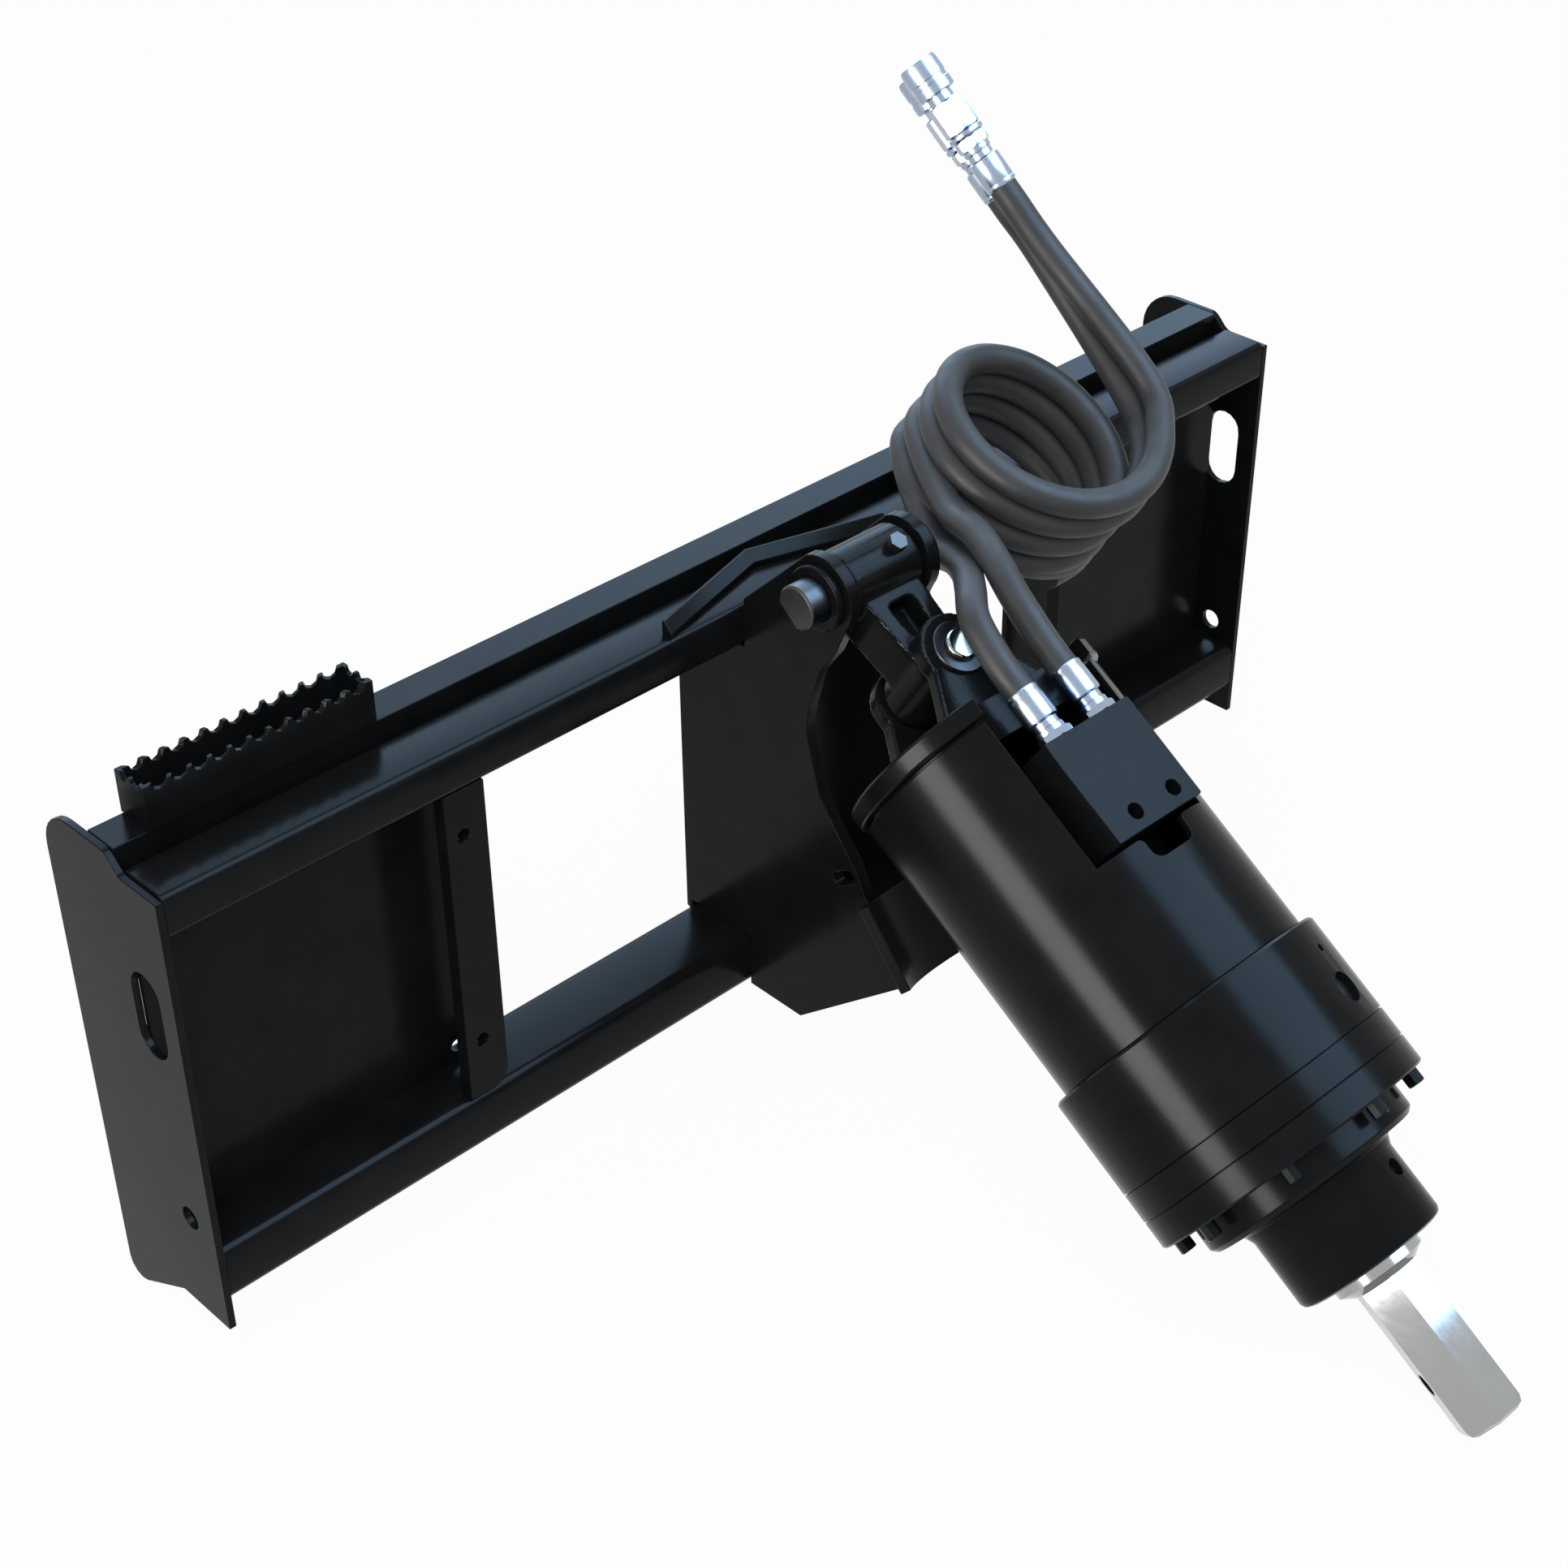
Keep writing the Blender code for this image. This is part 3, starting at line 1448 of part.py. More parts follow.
for label, points in TAILS:
    body = slab(
        "coupler_body_" + label,
        [hexagon(COUPLER_AF)],
        COUPLER_HEX_L,
        tail_axes(points, BODY_AT),
        ZINC,
    )
    nose = turned(
        "coupler_nose_tool_" + label,
        [
            (0, 0),
            (COUPLER_NOSE_R, 0),
            (COUPLER_NOSE_R, NOSE_L + 0.003),
            (0, NOSE_L + 0.003),
        ],
        tail_axes(points, BODY_AT + COUPLER_HEX_L - 0.003),
        ZINC,
        20,
    )
    bore = turned(
        "coupler_bore_tool_" + label,
        [(0, 0), (COUPLER_BORE, 0), (COUPLER_BORE, NOSE_L + 0.03), (0, NOSE_L + 0.03)],
        tail_axes(points, BODY_AT + COUPLER_HEX_L - 0.012),
        ZINC,
        16,
    )
    boolean(body, nose, "UNION")
    boolean(body, bore, "DIFFERENCE")
    place = tail_axes(points, SLEEVE_AT)
    several(
        "coupler_sleeve_" + label,
        [ring_maker(place, SLEEVE_BORE, SLEEVE_R, SLEEVE_L, 24, 0.0012)],
        ZINC,
        pivot=place.translation,
    )
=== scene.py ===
"""Dresses the earth auger drive: camera, hoses, fittings, materials, floor and light."""

import json
from math import ceil, cos, pi, radians, sin

import bmesh
import bpy
from mathutils import Matrix, Vector


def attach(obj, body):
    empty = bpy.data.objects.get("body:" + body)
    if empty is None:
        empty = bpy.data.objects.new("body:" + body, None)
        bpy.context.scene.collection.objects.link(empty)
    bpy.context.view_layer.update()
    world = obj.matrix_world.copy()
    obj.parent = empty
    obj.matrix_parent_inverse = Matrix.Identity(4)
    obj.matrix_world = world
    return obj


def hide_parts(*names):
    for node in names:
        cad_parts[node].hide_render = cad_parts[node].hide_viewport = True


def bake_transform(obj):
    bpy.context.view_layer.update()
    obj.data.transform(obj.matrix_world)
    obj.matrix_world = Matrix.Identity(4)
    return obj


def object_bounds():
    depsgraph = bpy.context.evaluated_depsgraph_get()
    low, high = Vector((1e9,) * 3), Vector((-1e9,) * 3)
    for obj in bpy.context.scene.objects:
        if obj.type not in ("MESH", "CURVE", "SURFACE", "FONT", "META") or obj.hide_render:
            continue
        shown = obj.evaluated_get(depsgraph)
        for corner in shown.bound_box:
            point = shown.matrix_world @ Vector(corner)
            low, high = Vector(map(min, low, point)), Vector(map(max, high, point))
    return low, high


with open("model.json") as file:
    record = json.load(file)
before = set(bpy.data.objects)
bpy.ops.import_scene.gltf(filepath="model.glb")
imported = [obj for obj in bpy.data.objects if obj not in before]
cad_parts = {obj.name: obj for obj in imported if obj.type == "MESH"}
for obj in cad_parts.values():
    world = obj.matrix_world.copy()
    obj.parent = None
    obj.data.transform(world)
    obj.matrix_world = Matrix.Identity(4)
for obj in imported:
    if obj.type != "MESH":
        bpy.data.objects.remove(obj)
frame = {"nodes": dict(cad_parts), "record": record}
cad_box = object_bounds()

# Frame of the source's own coordinates
BASE = Vector((0, 0.06975, 0.0037))
X = Vector((1, 0, 0))
DRIVE_TILT = radians(56.4)
DRIVE = Vector((-0.014, -0.0816, 0.0297)) - BASE
FRONT_AXIS = Vector((0, -cos(DRIVE_TILT), sin(DRIVE_TILT)))
DOWN_AXIS = Vector((0, -sin(DRIVE_TILT), -cos(DRIVE_TILT)))

# Camera, solved from the photograph
CAMERA_AT = Vector((-1.2332, -1.2600, 1.0352)) - BASE
CAMERA_AHEAD = Vector((0.5701, 0.5919, -0.5698)).normalized()
CAMERA_RIGHT = Vector((0.7161, -0.6979, -0.0084))
PHOTO_SIDE = 1932
FOCAL_PX = 3321.9
SENSOR = 36.0

camera = bpy.data.cameras.new("camera")
camera.sensor_width = SENSOR
camera.lens = SENSOR * FOCAL_PX / PHOTO_SIDE
camera.clip_end = 50
camera_object = bpy.data.objects.new("camera", camera)
bpy.context.scene.collection.objects.link(camera_object)
camera_back = -CAMERA_AHEAD
camera_right = (CAMERA_RIGHT - camera_back * CAMERA_RIGHT.dot(camera_back)).normalized()
camera_up = camera_back.cross(camera_right)
turn = Matrix((camera_right, camera_up, camera_back)).transposed().to_4x4()
camera_object.matrix_world = Matrix.Translation(CAMERA_AT) @ turn
bpy.context.scene.camera = camera_object

# Sizes of the hoses and their fittings
HOSE_R = 0.0115
HOSE_SIDES = 24
STEP = 0.005
SEAM = 0.0003
COIL_R = 0.080
COIL_NEAR = Vector((0.1839, -0.0917, 0.1115)) - BASE
COIL_FAR = Vector((0.1703, -0.0303, 0.0073)) - BASE
COIL_AXIS = (COIL_FAR - COIL_NEAR).normalized()
STRAND = 0.0233
PITCH = 2 * STRAND
COIL_LEAVE = radians(40)
STEPS_A_TURN = 12
CURVE_STEPS = 24
LANE_CHANGE = 0.32
LEAD_JOINS = 1.62
WIDEN = 0.0234
WIDEN_FROM = 0.33
TAIL_LEAVES = 1 / 12
PORT_X = (-0.014, 0.031)
PORT_A = 0.086
BLOCK_S = 0.183
NUT_H = 0.0068
NUT_AF = 0.024
NUT_BORE = 0.006
NUT_TURN = radians(12)
FERRULE_L = 0.036
FERRULE_R = 0.0128
FERRULE_BORE = 0.72 * HOSE_R
FERRULE_NECK_R = 0.80 * FERRULE_R
FERRULE_END_R = 0.90 * FERRULE_R
NUT_S = BLOCK_S - SEAM - NUT_H
FERRULE_S = NUT_S - FERRULE_L
LEAD_STRAIGHT = 0.012
TAIL_STRAIGHT = 0.012
TAIL_NUT_L = 0.010
COUPLER_COLLAR_R = 0.0150
COUPLER_COLLAR_L = 0.006
COLLAR_LIP = 0.001
COUPLER_AF = 0.027
COUPLER_HEX_L = 0.027
COUPLER_NOSE_R = 0.0104
COUPLER_BORE = 0.006
SLEEVE_R = 0.0158
SLEEVE_BORE = 0.0112
SLEEVE_L = 0.029
SLEEVE_TRAVEL = 0.006
SLEEVE_GAP = 0.001
LEAD_A = (
    (-0.0270, -0.2200, 0.0412),
    (-0.0180, -0.1920, 0.0555),
    (0.0060, -0.1660, 0.0585),
    (0.0330, -0.1380, 0.0490),
    (0.0560, -0.1065, 0.0380),
    (0.0751, -0.0664, 0.0300),
)
LEAD_B = (
    (0.0180, -0.2200, 0.0412),
    (0.0250, -0.1900, 0.0570),
    (0.0390, -0.1590, 0.0665),
    (0.0560, -0.1250, 0.0685),
    (0.0772, -0.0781, 0.0632),
)
TAIL_A = (
    (0.2884, -0.0888, 0.0995),
    (0.2720, 0.0030, 0.1830),
    (0.2620, 0.0420, 0.2260),
)
TAIL_B = (
    (0.2840, -0.0771, 0.0797),
    (0.2914, 0.0231, 0.1636),
    (0.2814, 0.0621, 0.2066),
)


def axes(origin, x_axis, y_axis):
    """A matrix whose local X and Y run along the two given directions."""
    x_axis = Vector(x_axis).normalized()
    z_axis = x_axis.cross(Vector(y_axis)).normalized()
    y_axis = z_axis.cross(x_axis)
    turned_axes = Matrix((x_axis, y_axis, z_axis)).transposed().to_4x4()
    return Matrix.Translation(Vector(origin)) @ turned_axes


def drive_point(x, a, s):
    """A point by its distance across, to the front of and down the drive."""
    return DRIVE + X * x + FRONT_AXIS * a + DOWN_AXIS * s


def along_drive(s, x, a):
    return axes(drive_point(x, a, s), X, FRONT_AXIS)


# Materials
NOISE_LOW = 0.3
NOISE_HIGH = 0.7
PAINT_IOR = 1.13
PAINT_LIGHTER = 1.5
RUBBER_SPECULAR = 0.15
RUBBER_LIGHTER = 1.35
RUBBER_WEAVE = 0.00015


def new_material(name, colour, roughness, metallic=0.0, specular=0.5):
    """A material with one Principled BSDF, its shader and its node tree."""
    made = bpy.data.materials.new(name)
    made.use_nodes = True
    shader = made.node_tree.nodes["Principled BSDF"]
    shader.inputs["Base Color"].default_value = (*colour, 1)
    shader.inputs["Roughness"].default_value = roughness
    shader.inputs["Metallic"].default_value = metallic
    shader.inputs["Specular IOR Level"].default_value = specular
    return made, shader, made.node_tree


def noise(tree, scale, detail=3.0, stretch=None):
    """A noise texture in the object's own coordinates, stretched where asked."""
    place = tree.nodes.new("ShaderNodeTexCoord")
    texture = tree.nodes.new("ShaderNodeTexNoise")
    texture.inputs["Scale"].default_value = scale
    texture.inputs["Detail"].default_value = detail
    if stretch is None:
        tree.links.new(place.outputs["Object"], texture.inputs["Vector"])
    else:
        mapping = tree.nodes.new("ShaderNodeMapping")
        mapping.inputs["Rotation"].default_value = stretch[1]
        mapping.inputs["Scale"].default_value = stretch[0]
        tree.links.new(place.outputs["Object"], mapping.inputs["Vector"])
        tree.links.new(mapping.outputs["Vector"], texture.inputs["Vector"])
    return texture.outputs["Fac"]


def spread(tree, value, low, high):
    """Maps the usual range of a noise texture to another range."""
    made = tree.nodes.new("ShaderNodeMapRange")
    made.inputs["From Min"].default_value = NOISE_LOW
    made.inputs["From Max"].default_value = NOISE_HIGH
    made.inputs["To Min"].default_value = low
    made.inputs["To Max"].default_value = high
    tree.links.new(value, made.inputs["Value"])
    return made.outputs["Result"]


def tint(tree, shader, value, dark, light):
    """Varies the base colour between two colours."""
    made = tree.nodes.new("ShaderNodeMix")
    made.data_type = "RGBA"
    made.inputs["A"].default_value = (*dark, 1)
    made.inputs["B"].default_value = (*light, 1)
    tree.links.new(value, made.inputs["Factor"])
    tree.links.new(made.outputs["Result"], shader.inputs["Base Color"])


def relief(tree, shader, value, distance):
    """Raises the surface by a texture's value times a distance."""
    bump = tree.nodes.new("ShaderNodeBump")
    bump.inputs["Distance"].default_value = distance
    bump.inputs["Strength"].default_value = 1.0
    tree.links.new(value, bump.inputs["Height"])
    tree.links.new(bump.outputs["Normal"], shader.inputs["Normal"])


def paint(name, colour, roughness, grain, depth):
    """Satin black paint with a faint orange peel and a slightly uneven gloss."""
    made, shader, tree = new_material(name, colour, roughness)
    shader.inputs["IOR"].default_value = PAINT_IOR
    gloss = spread(tree, noise(tree, 9), roughness - 0.02, roughness + 0.03)
    tree.links.new(gloss, shader.inputs["Roughness"])
    lighter = tuple(c * PAINT_LIGHTER for c in colour)
    tint(tree, shader, spread(tree, noise(tree, 30), 0, 1), colour, lighter)
    relief(tree, shader, noise(tree, grain), depth)
    return made


def metal(name, colour, roughness, stretch, depth, lighter=1.12):
    """Bare or plated metal with fine marks from turning or grinding."""
    made, shader, tree = new_material(name, colour, roughness, metallic=1.0)
    marks = noise(tree, 240, 4.0, stretch)
    gloss = spread(tree, marks, roughness - 0.015, roughness + 0.02)
    tree.links.new(gloss, shader.inputs["Roughness"])
    bright = tuple(min(1, c * lighter) for c in colour)
    tint(tree, shader, spread(tree, noise(tree, 40), 0, 1), colour, bright)
    if depth:
        relief(tree, shader, marks, depth)
    return made


def rubber(name, colour, roughness):
    """Hose cover with the fine weave of its curing cloth."""
    made, shader, tree = new_material(name, colour, roughness, specular=RUBBER_SPECULAR)
    gloss = spread(tree, noise(tree, 60), roughness - 0.05, roughness + 0.08)
    tree.links.new(gloss, shader.inputs["Roughness"])
    lighter = tuple(c * RUBBER_LIGHTER for c in colour)
    tint(tree, shader, spread(tree, noise(tree, 25), 0, 1), colour, lighter)
    relief(tree, shader, noise(tree, 1400, 2.0), RUBBER_WEAVE)
    return made


TURNED = ((1.0, 1.0, 1.0), (0, 0, 0))
ALONG_SHAFT = ((1.0, 0.06, 1.0), (-DRIVE_TILT + pi / 2, 0, 0))
LOOKS = {
    "black_paint": paint("black_paint", (0.0065, 0.0068, 0.0073), 0.20, 700, 0.00003),
    "black_casting": paint("black_casting", (0.0070, 0.0073, 0.0078), 0.19, 300, 0.00008),
    "dark_steel": metal("dark_steel", (0.045, 0.045, 0.047), 0.36, TURNED, 0.00004),
    "ground_steel": metal("ground_steel", (0.35, 0.36, 0.36), 0.13, ALONG_SHAFT, 0.0, 1.04),
    # zinc_plate: grey zinc, with a blue tint and a darker tone painted into its base colour as a painted
    # reflection of a blue sky
    "zinc_plate": metal("zinc_plate", (0.30, 0.36, 0.45), 0.24, TURNED, 0.0, 1.04),
    "gear_steel": metal("gear_steel", (0.35, 0.35, 0.36), 0.32, TURNED, 0.00003),
    "bronze": metal("bronze", (0.45, 0.28, 0.12), 0.38, TURNED, 0.00003),
    "hose_rubber": rubber("hose_rubber", (0.050, 0.050, 0.052), 0.46),
}


# Mesh helpers
def finish_mesh(name, bm, look, body, angle=30):
    """Turns a bmesh into an object with its look, on a body where one is given."""
    bmesh.ops.recalc_face_normals(bm, faces=bm.faces)
    mesh = bpy.data.meshes.new(name)
    bm.to_mesh(mesh)
    bm.free()
    mesh.shade_smooth()
    mesh.set_sharp_from_angle(angle=radians(angle))
    mesh.materials.append(LOOKS[look])
    made = bpy.data.objects.new(name, mesh)
    bpy.context.scene.collection.objects.link(made)
    if body:
        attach(made, body)
    return made


def stacked(bm, loops, closed=False):
    """Joins loops of equal length into a skin, with a cap on each end unless it closes on itself."""
    rings = [[bm.verts.new(p) for p in loop] for loop in loops]
    first = 0 if closed else 1
    for k in range(first, len(rings)):
        low = rings[k - 1]
        high = rings[k]
        for i in range(len(low)):
            bm.faces.new((low[i - 1], low[i], high[i], high[i - 1]))
    if not closed:
        bm.faces.new(rings[0])
        bm.faces.new(rings[-1])


def turned(bm, profile, matrix, steps=64):
    """Spins a closed profile of radius and height around the matrix's Z."""
    loops = []
    for radius, height in profile:
        loop = []
        for i in range(steps):
            angle = 2 * pi * i / steps
            loop.append(matrix @ Vector((radius * cos(angle), radius * sin(angle), height)))
        loops.append(loop)
    stacked(bm, loops, closed=True)


def hexagonal(bm, matrix, across, low, high, bore, angle=0.0, steps=72):
    """A hexagonal body with chamfered corners and a bore through it."""
    depths = (0, 0.0004, 0.0009, 0.0016)
    heights = [low + d for d in depths] + [high - d for d in reversed(depths)]
    loops = []
    for height in heights:
        cone = across / 2 - 0.0002 + 1.7 * min(height - low, high - height)
        loop = []
        for i in range(steps):
            turn_angle = 2 * pi * i / steps
            within = (turn_angle + pi / 6) % (pi / 3) - pi / 6
            radius = min(across / 2 / cos(within), cone)
            way = turn_angle + angle
            loop.append(matrix @ Vector((radius * cos(way), radius * sin(way), height)))
        loops.append(loop)
    for height in (high, low):
        loop = []
        for i in range(steps):
            way = 2 * pi * i / steps + angle
            loop.append(matrix @ Vector((bore * cos(way), bore * sin(way), height)))
        loops.append(loop)
    stacked(bm, loops, closed=True)


# Hose routes
def smooth_route(points, spacing):
    """Evenly spread points along a smooth curve through the route's own points."""
    route = [Vector(p) for p in points]
    route = [2 * route[0] - route[1]] + route + [2 * route[-1] - route[-2]]
    fine = []
    for i in range(1, len(route) - 2):
        a, b, c, d = route[i - 1 : i + 3]
        for j in range(CURVE_STEPS):
            t = j / CURVE_STEPS
            cubic = 3 * b - 3 * c + d - a
            fine.append(0.5 * (2 * b + (c - a) * t + (2 * a - 5 * b + 4 * c - d) * t * t + cubic * t**3))
    fine.append(route[-2])
    lengths = [0.0]
    for i in range(1, len(fine)):
        lengths.append(lengths[-1] + (fine[i] - fine[i - 1]).length)
    count = max(2, ceil(lengths[-1] / spacing))
    out = []
    k = 0
    for i in range(count + 1):
        goal = lengths[-1] * i / count
        while k < len(fine) - 2 and lengths[k + 1] < goal:
            k += 1
        share = (goal - lengths[k]) / (lengths[k + 1] - lengths[k])
        out.append(fine[k].lerp(fine[k + 1], share))
    return out


def tube(name, route, body):
    """A round rubber hose along a route, with its rings kept from twisting."""
    bm = bmesh.new()
    loops = []
    normal = (route[1] - route[0]).orthogonal().normalized()
    for i, point in enumerate(route):
        ahead = route[min(i + 1, len(route) - 1)] - route[max(i - 1, 0)]
        ahead.normalize()
        normal = (normal - ahead * normal.dot(ahead)).normalized()
        across = ahead.cross(normal)
        loop = []
        for k in range(HOSE_SIDES):
            angle = 2 * pi * k / HOSE_SIDES
            loop.append(point + HOSE_R * (normal * cos(angle) + across * sin(angle)))
        loops.append(loop)
    stacked(bm, loops)
    return finish_mesh(name, bm, "hose_rubber", body, 60)


coil_across = (CAMERA_RIGHT - COIL_AXIS * CAMERA_RIGHT.dot(COIL_AXIS)).normalized()
coil_rise = coil_across.cross(COIL_AXIS)


def coil_point(turns, offset):
    """A point on a strand of the coil, so many turns in from where the near end leaves it."""
    angle = COIL_LEAVE - 2 * pi * turns
    depth = offset + PITCH * turns
    radius = COIL_R + WIDEN * max(0, 1 - turns / WIDEN_FROM) ** 2
    return COIL_NEAR + COIL_AXIS * depth + radius * (coil_across * cos(angle) + coil_rise * sin(angle))


def ease(t):
    """Runs smoothly from 0 to 1, and stays there outside that range."""
    t = min(1, max(0, t))
    return t * t * (3 - 2 * t)


def coil_turns(first, last, offset, shift=0.0, shift_from=0.0):
    """Points of a strand from one count of turns to another, which may change lane on its way."""
    count = max(1, round(abs(last - first) * STEPS_A_TURN))
    out = []
    for i in range(count + 1):
        turns = first + (last - first) * i / count
        out.append(coil_point(turns, offset + shift * ease((turns - shift_from) / LANE_CHANGE)))
    return out


def lead_route(x, points, offset, last, shift_from):
    """From a port, through the route's free points and into the coil."""
    start = drive_point(x, PORT_A, FERRULE_S - SEAM)
    straight = drive_point(x, PORT_A, FERRULE_S - SEAM - LEAD_STRAIGHT)
    free = [start, straight] + [Vector(p) - BASE for p in points]
    wound = coil_turns(LEAD_JOINS, last, offset, -STRAND, shift_from)
    return smooth_route(free + wound, STEP)


def tail_end(points):
    """Where a tail hose ends at its coupler, and which way it points there."""
    end = Vector(points[-1]) - BASE
    direction = (end + BASE - Vector(points[-2])).normalized()
    return end, direction


def tail_axes(points, offset):
    """A matrix on the coupler's axis, so far past the end of the hose."""
    end, direction = tail_end(points)
    side = direction.cross(X)
    return axes(end + direction * offset, side, direction.cross(side))


def tail_route(points, offset):
    """Out of the coil, through the route's free points and to the coupler."""
    end, direction = tail_end(points)
    wound = coil_turns(LEAD_JOINS, TAIL_LEAVES, offset)
    free = [Vector(p) - BASE for p in points[:-1]] + [end - direction * TAIL_STRAIGHT]
    return smooth_route(wound + free, STEP) + [end]


# Fittings
def ferrule(bm, matrix, length):
    """A smooth swaged ferrule with a rolled entry lip, a shoulder and a turned neck."""
    r = FERRULE_R
    outline = [
        (FERRULE_BORE, 0.0),
        (HOSE_R + 0.0007, 0.0),
        (r - 0.0003, 0.0003),
        (r, 0.0010),
        (r, 0.0030),
        (r - 0.0003, 0.0034),
        (r - 0.0003, 0.0040),
        (r, 0.0046),
        (r, length - 0.0120),
        (r - 0.0004, length - 0.0108),
        (r - 0.0016, length - 0.0098),
        (FERRULE_NECK_R, length - 0.0094),
        (FERRULE_NECK_R, length - 0.0046),
        (r * 0.88, length - 0.0040),
        (FERRULE_END_R, length - 0.0030),
        (FERRULE_END_R, length),
        (FERRULE_BORE, length),
    ]
    turned(bm, outline, matrix)


for label, x in zip("ab", PORT_X):
    bm = bmesh.new()
    ferrule(bm, along_drive(FERRULE_S, x, PORT_A), FERRULE_L)
    hexagonal(bm, along_drive(NUT_S, x, PORT_A), NUT_AF, 0, NUT_H, NUT_BORE, NUT_TURN)
    fitting = finish_mesh("port_fitting_fine_" + label, bm, "zinc_plate", "drive")
    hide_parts("port_fitting_" + label)

TAIL_NUT_AT = SEAM + FERRULE_L
COLLAR_AT = TAIL_NUT_AT + TAIL_NUT_L
BODY_AT = COLLAR_AT + COUPLER_COLLAR_L - COLLAR_LIP + SEAM
NOSE_L = SLEEVE_TRAVEL + SLEEVE_GAP + SLEEVE_L
SLEEVE_AT = BODY_AT + COUPLER_HEX_L + SLEEVE_TRAVEL + SLEEVE_GAP
for label, points in (("a", TAIL_A), ("b", TAIL_B)):
    bm = bmesh.new()
    ferrule(bm, tail_axes(points, SEAM), FERRULE_L)
    hexagonal(bm, tail_axes(points, TAIL_NUT_AT), NUT_AF, 0, TAIL_NUT_L, NUT_BORE)
    collar = [
        (COUPLER_BORE, 0),
        (COUPLER_COLLAR_R - 0.0015, 0),
        (COUPLER_COLLAR_R, 0.0015),
        (COUPLER_COLLAR_R, COUPLER_COLLAR_L - 0.0020),
        (COUPLER_COLLAR_R - 0.0010, COUPLER_COLLAR_L - COLLAR_LIP),
        (COUPLER_BORE, COUPLER_COLLAR_L - COLLAR_LIP),
    ]
    turned(bm, collar, tail_axes(points, COLLAR_AT))
    fitting = finish_mesh("tail_fitting_fine_" + label, bm, "zinc_plate", "frame")
    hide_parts("tail_fitting_" + label)

    bm = bmesh.new()
    place = tail_axes(points, BODY_AT)
    hexagonal(bm, place, COUPLER_AF, 0, COUPLER_HEX_L, COUPLER_BORE)
    tip = COUPLER_HEX_L + NOSE_L
    nose = [
        (COUPLER_BORE, COUPLER_HEX_L),
        (COUPLER_NOSE_R, COUPLER_HEX_L),
        (COUPLER_NOSE_R, tip - 0.0008),
        (COUPLER_NOSE_R - 0.0008, tip),
        (COUPLER_BORE + 0.0006, tip),
        (COUPLER_BORE, tip - 0.0006),
    ]
    turned(bm, nose, place)
    coupler = finish_mesh("coupler_fine_" + label, bm, "zinc_plate", "frame")
    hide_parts("coupler_body_" + label)

    bm = bmesh.new()
    sleeve = [
        (SLEEVE_BORE, 0.0),
        (SLEEVE_R - 0.0012, 0.0),
        (SLEEVE_R, 0.0010),
        (SLEEVE_R, 0.0085),
        (SLEEVE_R - 0.0007, 0.0092),
        (SLEEVE_R - 0.0007, 0.0128),
        (SLEEVE_R, 0.0135),
        (SLEEVE_R, SLEEVE_L - 0.0035),
        (SLEEVE_R - 0.0009, SLEEVE_L - 0.0006),
        (SLEEVE_R - 0.0018, SLEEVE_L),
        (SLEEVE_BORE, SLEEVE_L),
    ]
    turned(bm, sleeve, tail_axes(points, SLEEVE_AT))
    slider = finish_mesh("coupler_sleeve_fine_" + label, bm, "zinc_plate", "sleeve_" + label)
    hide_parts("coupler_sleeve_" + label)

# Hoses: the leads first, because the tails' windings leave them
# Each lead has its port's place across, its free points, its lane in the coil, its last turn and
# the turn where it changes lane
LEADS = (
    ("a", PORT_X[0], LEAD_A, STRAND, 2.27, 1.92),
    ("b", PORT_X[1], LEAD_B, 0.0, 2.42, 2.08),
)
for label, x, points, offset, last, shift_from in LEADS:
    route = lead_route(x, points, offset, last, shift_from)
    hose = tube("hose_lead_fine_" + label, route, None)
    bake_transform(hose)
    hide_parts("hose_lead_" + label)

for label, points, offset in (("a", TAIL_A, 0.0), ("b", TAIL_B, STRAND)):
    route = tail_route(points, offset)
    hose = tube("hose_tail_fine_" + label, route, "frame")
    replaced = ["hose_tail_" + label] + (["hose_coil"] if label == "a" else [])
    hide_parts(*replaced)

# Carried-over nodes: round sides shaded smooth, every edge lightly rounded, and their materials
SHARP_ANGLE = radians(32)
WELD_OVER = 0.00002
FLAT_ANGLE = radians(0.4)
EDGE_SEGMENTS = 2
CASTING_EDGE = 0.0014
PLATE_EDGE = 0.0008
SMALL_EDGE = 0.0003
CAST_SHAPES = ("link_casting", "ear_front", "ear_rear")
CAST_VOXEL = 0.0014
CAST_SOFTENING = 7


def smooth_sides():
    """A node group that shades faces smooth but keeps edges over the sharp angle."""
    made = bpy.data.node_groups.new("smooth_sides", "GeometryNodeTree")
    made.interface.new_socket("Geometry", in_out="INPUT", socket_type="NodeSocketGeometry")
    made.interface.new_socket("Geometry", in_out="OUTPUT", socket_type="NodeSocketGeometry")
    start = made.nodes.new("NodeGroupInput")
    end = made.nodes.new("NodeGroupOutput")
    faces = made.nodes.new("GeometryNodeSetShadeSmooth")
    faces.domain = "FACE"
    edges = made.nodes.new("GeometryNodeSetShadeSmooth")
    edges.domain = "EDGE"
    edges.inputs["Shade Smooth"].default_value = False
    angle = made.nodes.new("GeometryNodeInputMeshEdgeAngle")
    over = made.nodes.new("FunctionNodeCompare")
    over.operation = "GREATER_THAN"
    over.inputs["B"].default_value = SHARP_ANGLE
    made.links.new(angle.outputs["Unsigned Angle"], over.inputs["A"])
    made.links.new(over.outputs["Result"], edges.inputs["Selection"])
    made.links.new(start.outputs[0], faces.inputs["Geometry"])
    made.links.new(faces.outputs[0], edges.inputs["Geometry"])
    made.links.new(edges.outputs[0], end.inputs[0])
    return made


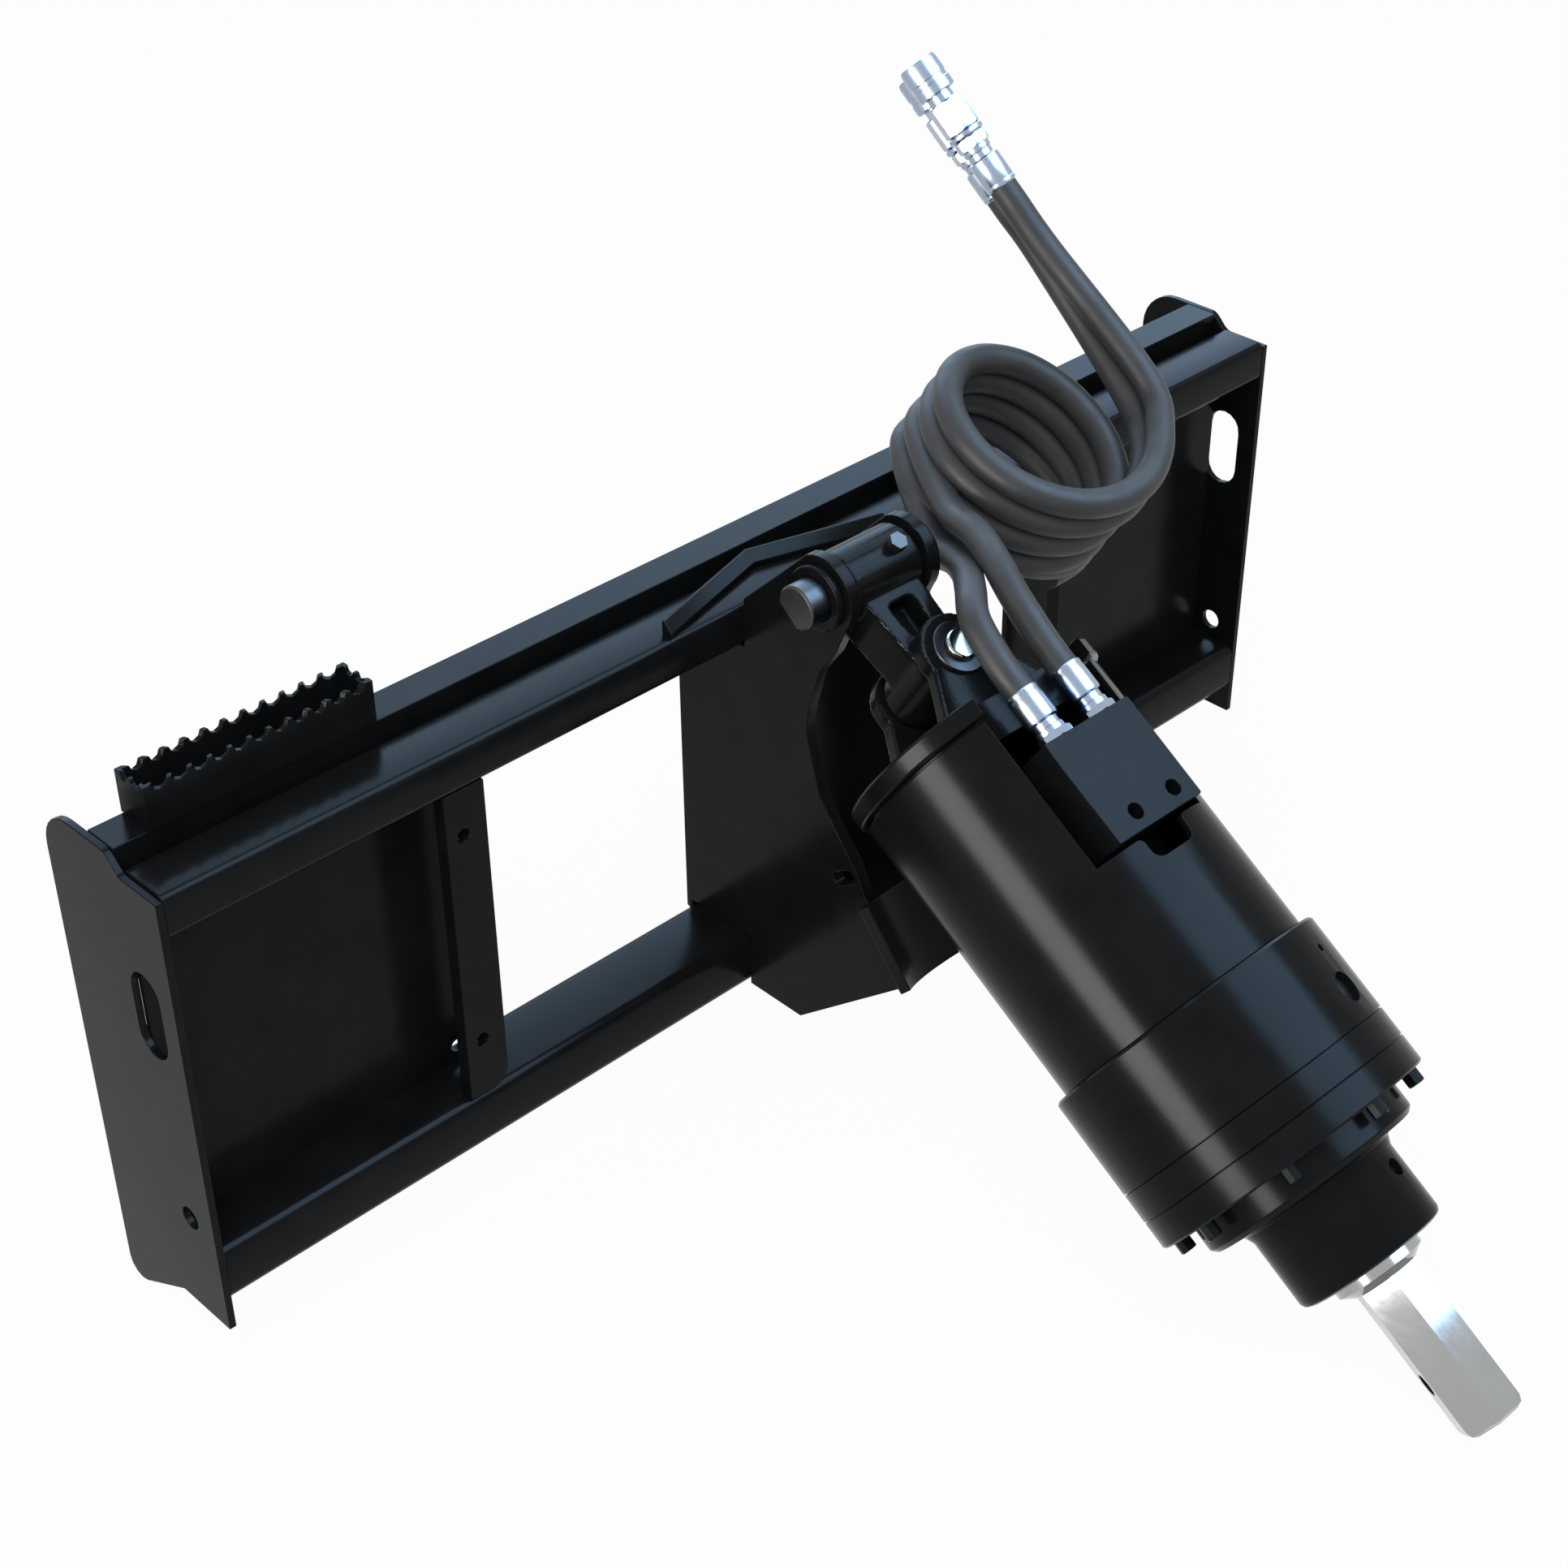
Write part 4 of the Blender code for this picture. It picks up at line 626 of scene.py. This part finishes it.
def dress(node, width):
    """Joins the node's triangles into faces and rounds its edges, or its whole skin if it is cast."""
    weld = node.modifiers.new("weld", "WELD")
    weld.merge_threshold = WELD_OVER
    flat = node.modifiers.new("flat", "DECIMATE")
    flat.decimate_type = "DISSOLVE"
    flat.angle_limit = FLAT_ANGLE
    if node.name in CAST_SHAPES:
        skin = node.modifiers.new("skin", "REMESH")
        skin.mode = "VOXEL"
        skin.voxel_size = CAST_VOXEL
        soft = node.modifiers.new("soft", "SMOOTH")
        soft.factor = 0.5
        soft.iterations = CAST_SOFTENING
    smooth = node.modifiers.new("smooth", "NODES")
    smooth.node_group = SMOOTH_SIDES
    if node.name in CAST_SHAPES:
        return
    bevel = node.modifiers.new("round", "BEVEL")
    bevel.limit_method = "ANGLE"
    bevel.angle_limit = SHARP_ANGLE
    bevel.width = width
    bevel.segments = EDGE_SEGMENTS
    bevel.harden_normals = True
    bevel.use_clamp_overlap = True


SMOOTH_SIDES = smooth_sides()
slots = {row["node"]: row["material_slot"] for row in frame["record"]["subparts"]}
EDGES = {"black_casting": CASTING_EDGE, "black_paint": PLATE_EDGE, "ground_steel": PLATE_EDGE}
for name, node in frame["nodes"].items():
    look = LOOKS[slots[name]]
    if not node.material_slots:
        node.data.materials.append(look)
    for place in node.material_slots:
        place.material = look
    dress(node, EDGES.get(slots[name], SMALL_EDGE))

# Floor, world and lamps
FLOOR_SIZE = 40
FLOOR_DROP = 0.001
FLOOR_ROUGHNESS = 0.9
FLOOR_COLOUR = (0.95, 0.93, 0.90)
FLOOR_GLOW = 0.96
WORLD_COLOUR = (0.90, 0.95, 1.0)
WORLD_STRENGTH = 0.5
floor_mesh = bpy.data.meshes.new("floor")
half = FLOOR_SIZE / 2
floor_z = cad_box[0][2] - FLOOR_DROP
corners = [(-half, -half, floor_z), (half, -half, floor_z), (half, half, floor_z), (-half, half, floor_z)]
floor_mesh.from_pydata(corners, [], [(0, 1, 2, 3)])
floor_object = bpy.data.objects.new("floor", floor_mesh)
bpy.context.scene.collection.objects.link(floor_object)
floor_look, floor_shader, floor_tree = new_material("floor", FLOOR_COLOUR, FLOOR_ROUGHNESS, specular=0.0)
floor_mesh.materials.append(floor_look)


def seen_rays(tree):
    """1 for camera, glossy and transmission rays."""
    rays = tree.nodes.new("ShaderNodeLightPath")
    value = rays.outputs["Is Camera Ray"]
    for kind in ("Is Glossy Ray", "Is Transmission Ray"):
        larger = tree.nodes.new("ShaderNodeMath")
        larger.operation = "MAXIMUM"
        tree.links.new(value, larger.inputs[0])
        tree.links.new(rays.outputs[kind], larger.inputs[1])
        value = larger.outputs[0]
    return value


glow = floor_tree.nodes.new("ShaderNodeEmission")
glow.inputs["Strength"].default_value = 1.0
share = floor_tree.nodes.new("ShaderNodeMath")
share.operation = "MULTIPLY"
share.inputs[1].default_value = FLOOR_GLOW
floor_mix = floor_tree.nodes.new("ShaderNodeMixShader")
floor_tree.links.new(seen_rays(floor_tree), share.inputs[0])
floor_tree.links.new(share.outputs[0], floor_mix.inputs[0])
floor_tree.links.new(floor_shader.outputs[0], floor_mix.inputs[1])
floor_tree.links.new(glow.outputs[0], floor_mix.inputs[2])
floor_tree.links.new(floor_mix.outputs[0], floor_tree.nodes["Material Output"].inputs[0])

world = bpy.data.worlds.new("world")
bpy.context.scene.world = world
world.use_nodes = True
world_tree = world.node_tree
background = world_tree.nodes["Background"]
background.inputs["Color"].default_value = (*WORLD_COLOUR, 1)
background.inputs["Strength"].default_value = WORLD_STRENGTH
white = world_tree.nodes.new("ShaderNodeBackground")
white.inputs["Color"].default_value = (1, 1, 1, 1)
white.inputs["Strength"].default_value = 1.0
pick = world_tree.nodes.new("ShaderNodeMixShader")
world_tree.links.new(seen_rays(world_tree), pick.inputs[0])
world_tree.links.new(background.outputs[0], pick.inputs[1])
world_tree.links.new(white.outputs[0], pick.inputs[2])
world_tree.links.new(pick.outputs[0], world_tree.nodes["World Output"].inputs[0])


AIM_DOWN = 0.38
AIM = drive_point(0, 0, AIM_DOWN)
UP = Vector((0, 0, 1))
BACK = Vector((0, 1, 0))
SKY = (0.40, 0.68, 1.0)
WARM = (1.0, 0.97, 0.92)
PLAIN = (1, 1, 1)


def lamp(name, way, distance, size, radiance, colour, long_axis=UP, card=True):
    """A soft area lamp off in one direction. A card is only seen in reflections, others only light."""
    data = bpy.data.lights.new(name, "AREA")
    data.shape = "RECTANGLE"
    data.size = size[0]
    data.size_y = size[1]
    data.energy = radiance * pi * size[0] * size[1]
    data.color = colour
    made = bpy.data.objects.new(name, data)
    bpy.context.scene.collection.objects.link(made)
    made.visible_diffuse = not card
    made.visible_glossy = card
    way = Vector(way).normalized()
    upright = long_axis - way * long_axis.dot(way)
    made.matrix_world = axes(AIM + way * distance, long_axis.cross(way), upright)


lamp("sky_lamp_back", (0.42, 0.66, 0.62), 3.4, (3.4, 3.4), 5.0, SKY)
lamp("sky_lamp_top", (0.36, -0.36, 0.86), 3.0, (2.6, 2.6), 14.0, SKY, BACK)
lamp("key_lamp", (-0.5, -0.3, 0.8), 3.0, (2.0, 2.0), 3.0, PLAIN, card=False)
lamp("side_lamp", (-0.958, 0.112, 0.154), 3.0, (1.2, 2.0), 34, WARM, DOWN_AXIS)

bpy.context.scene.view_settings.view_transform = "Standard"
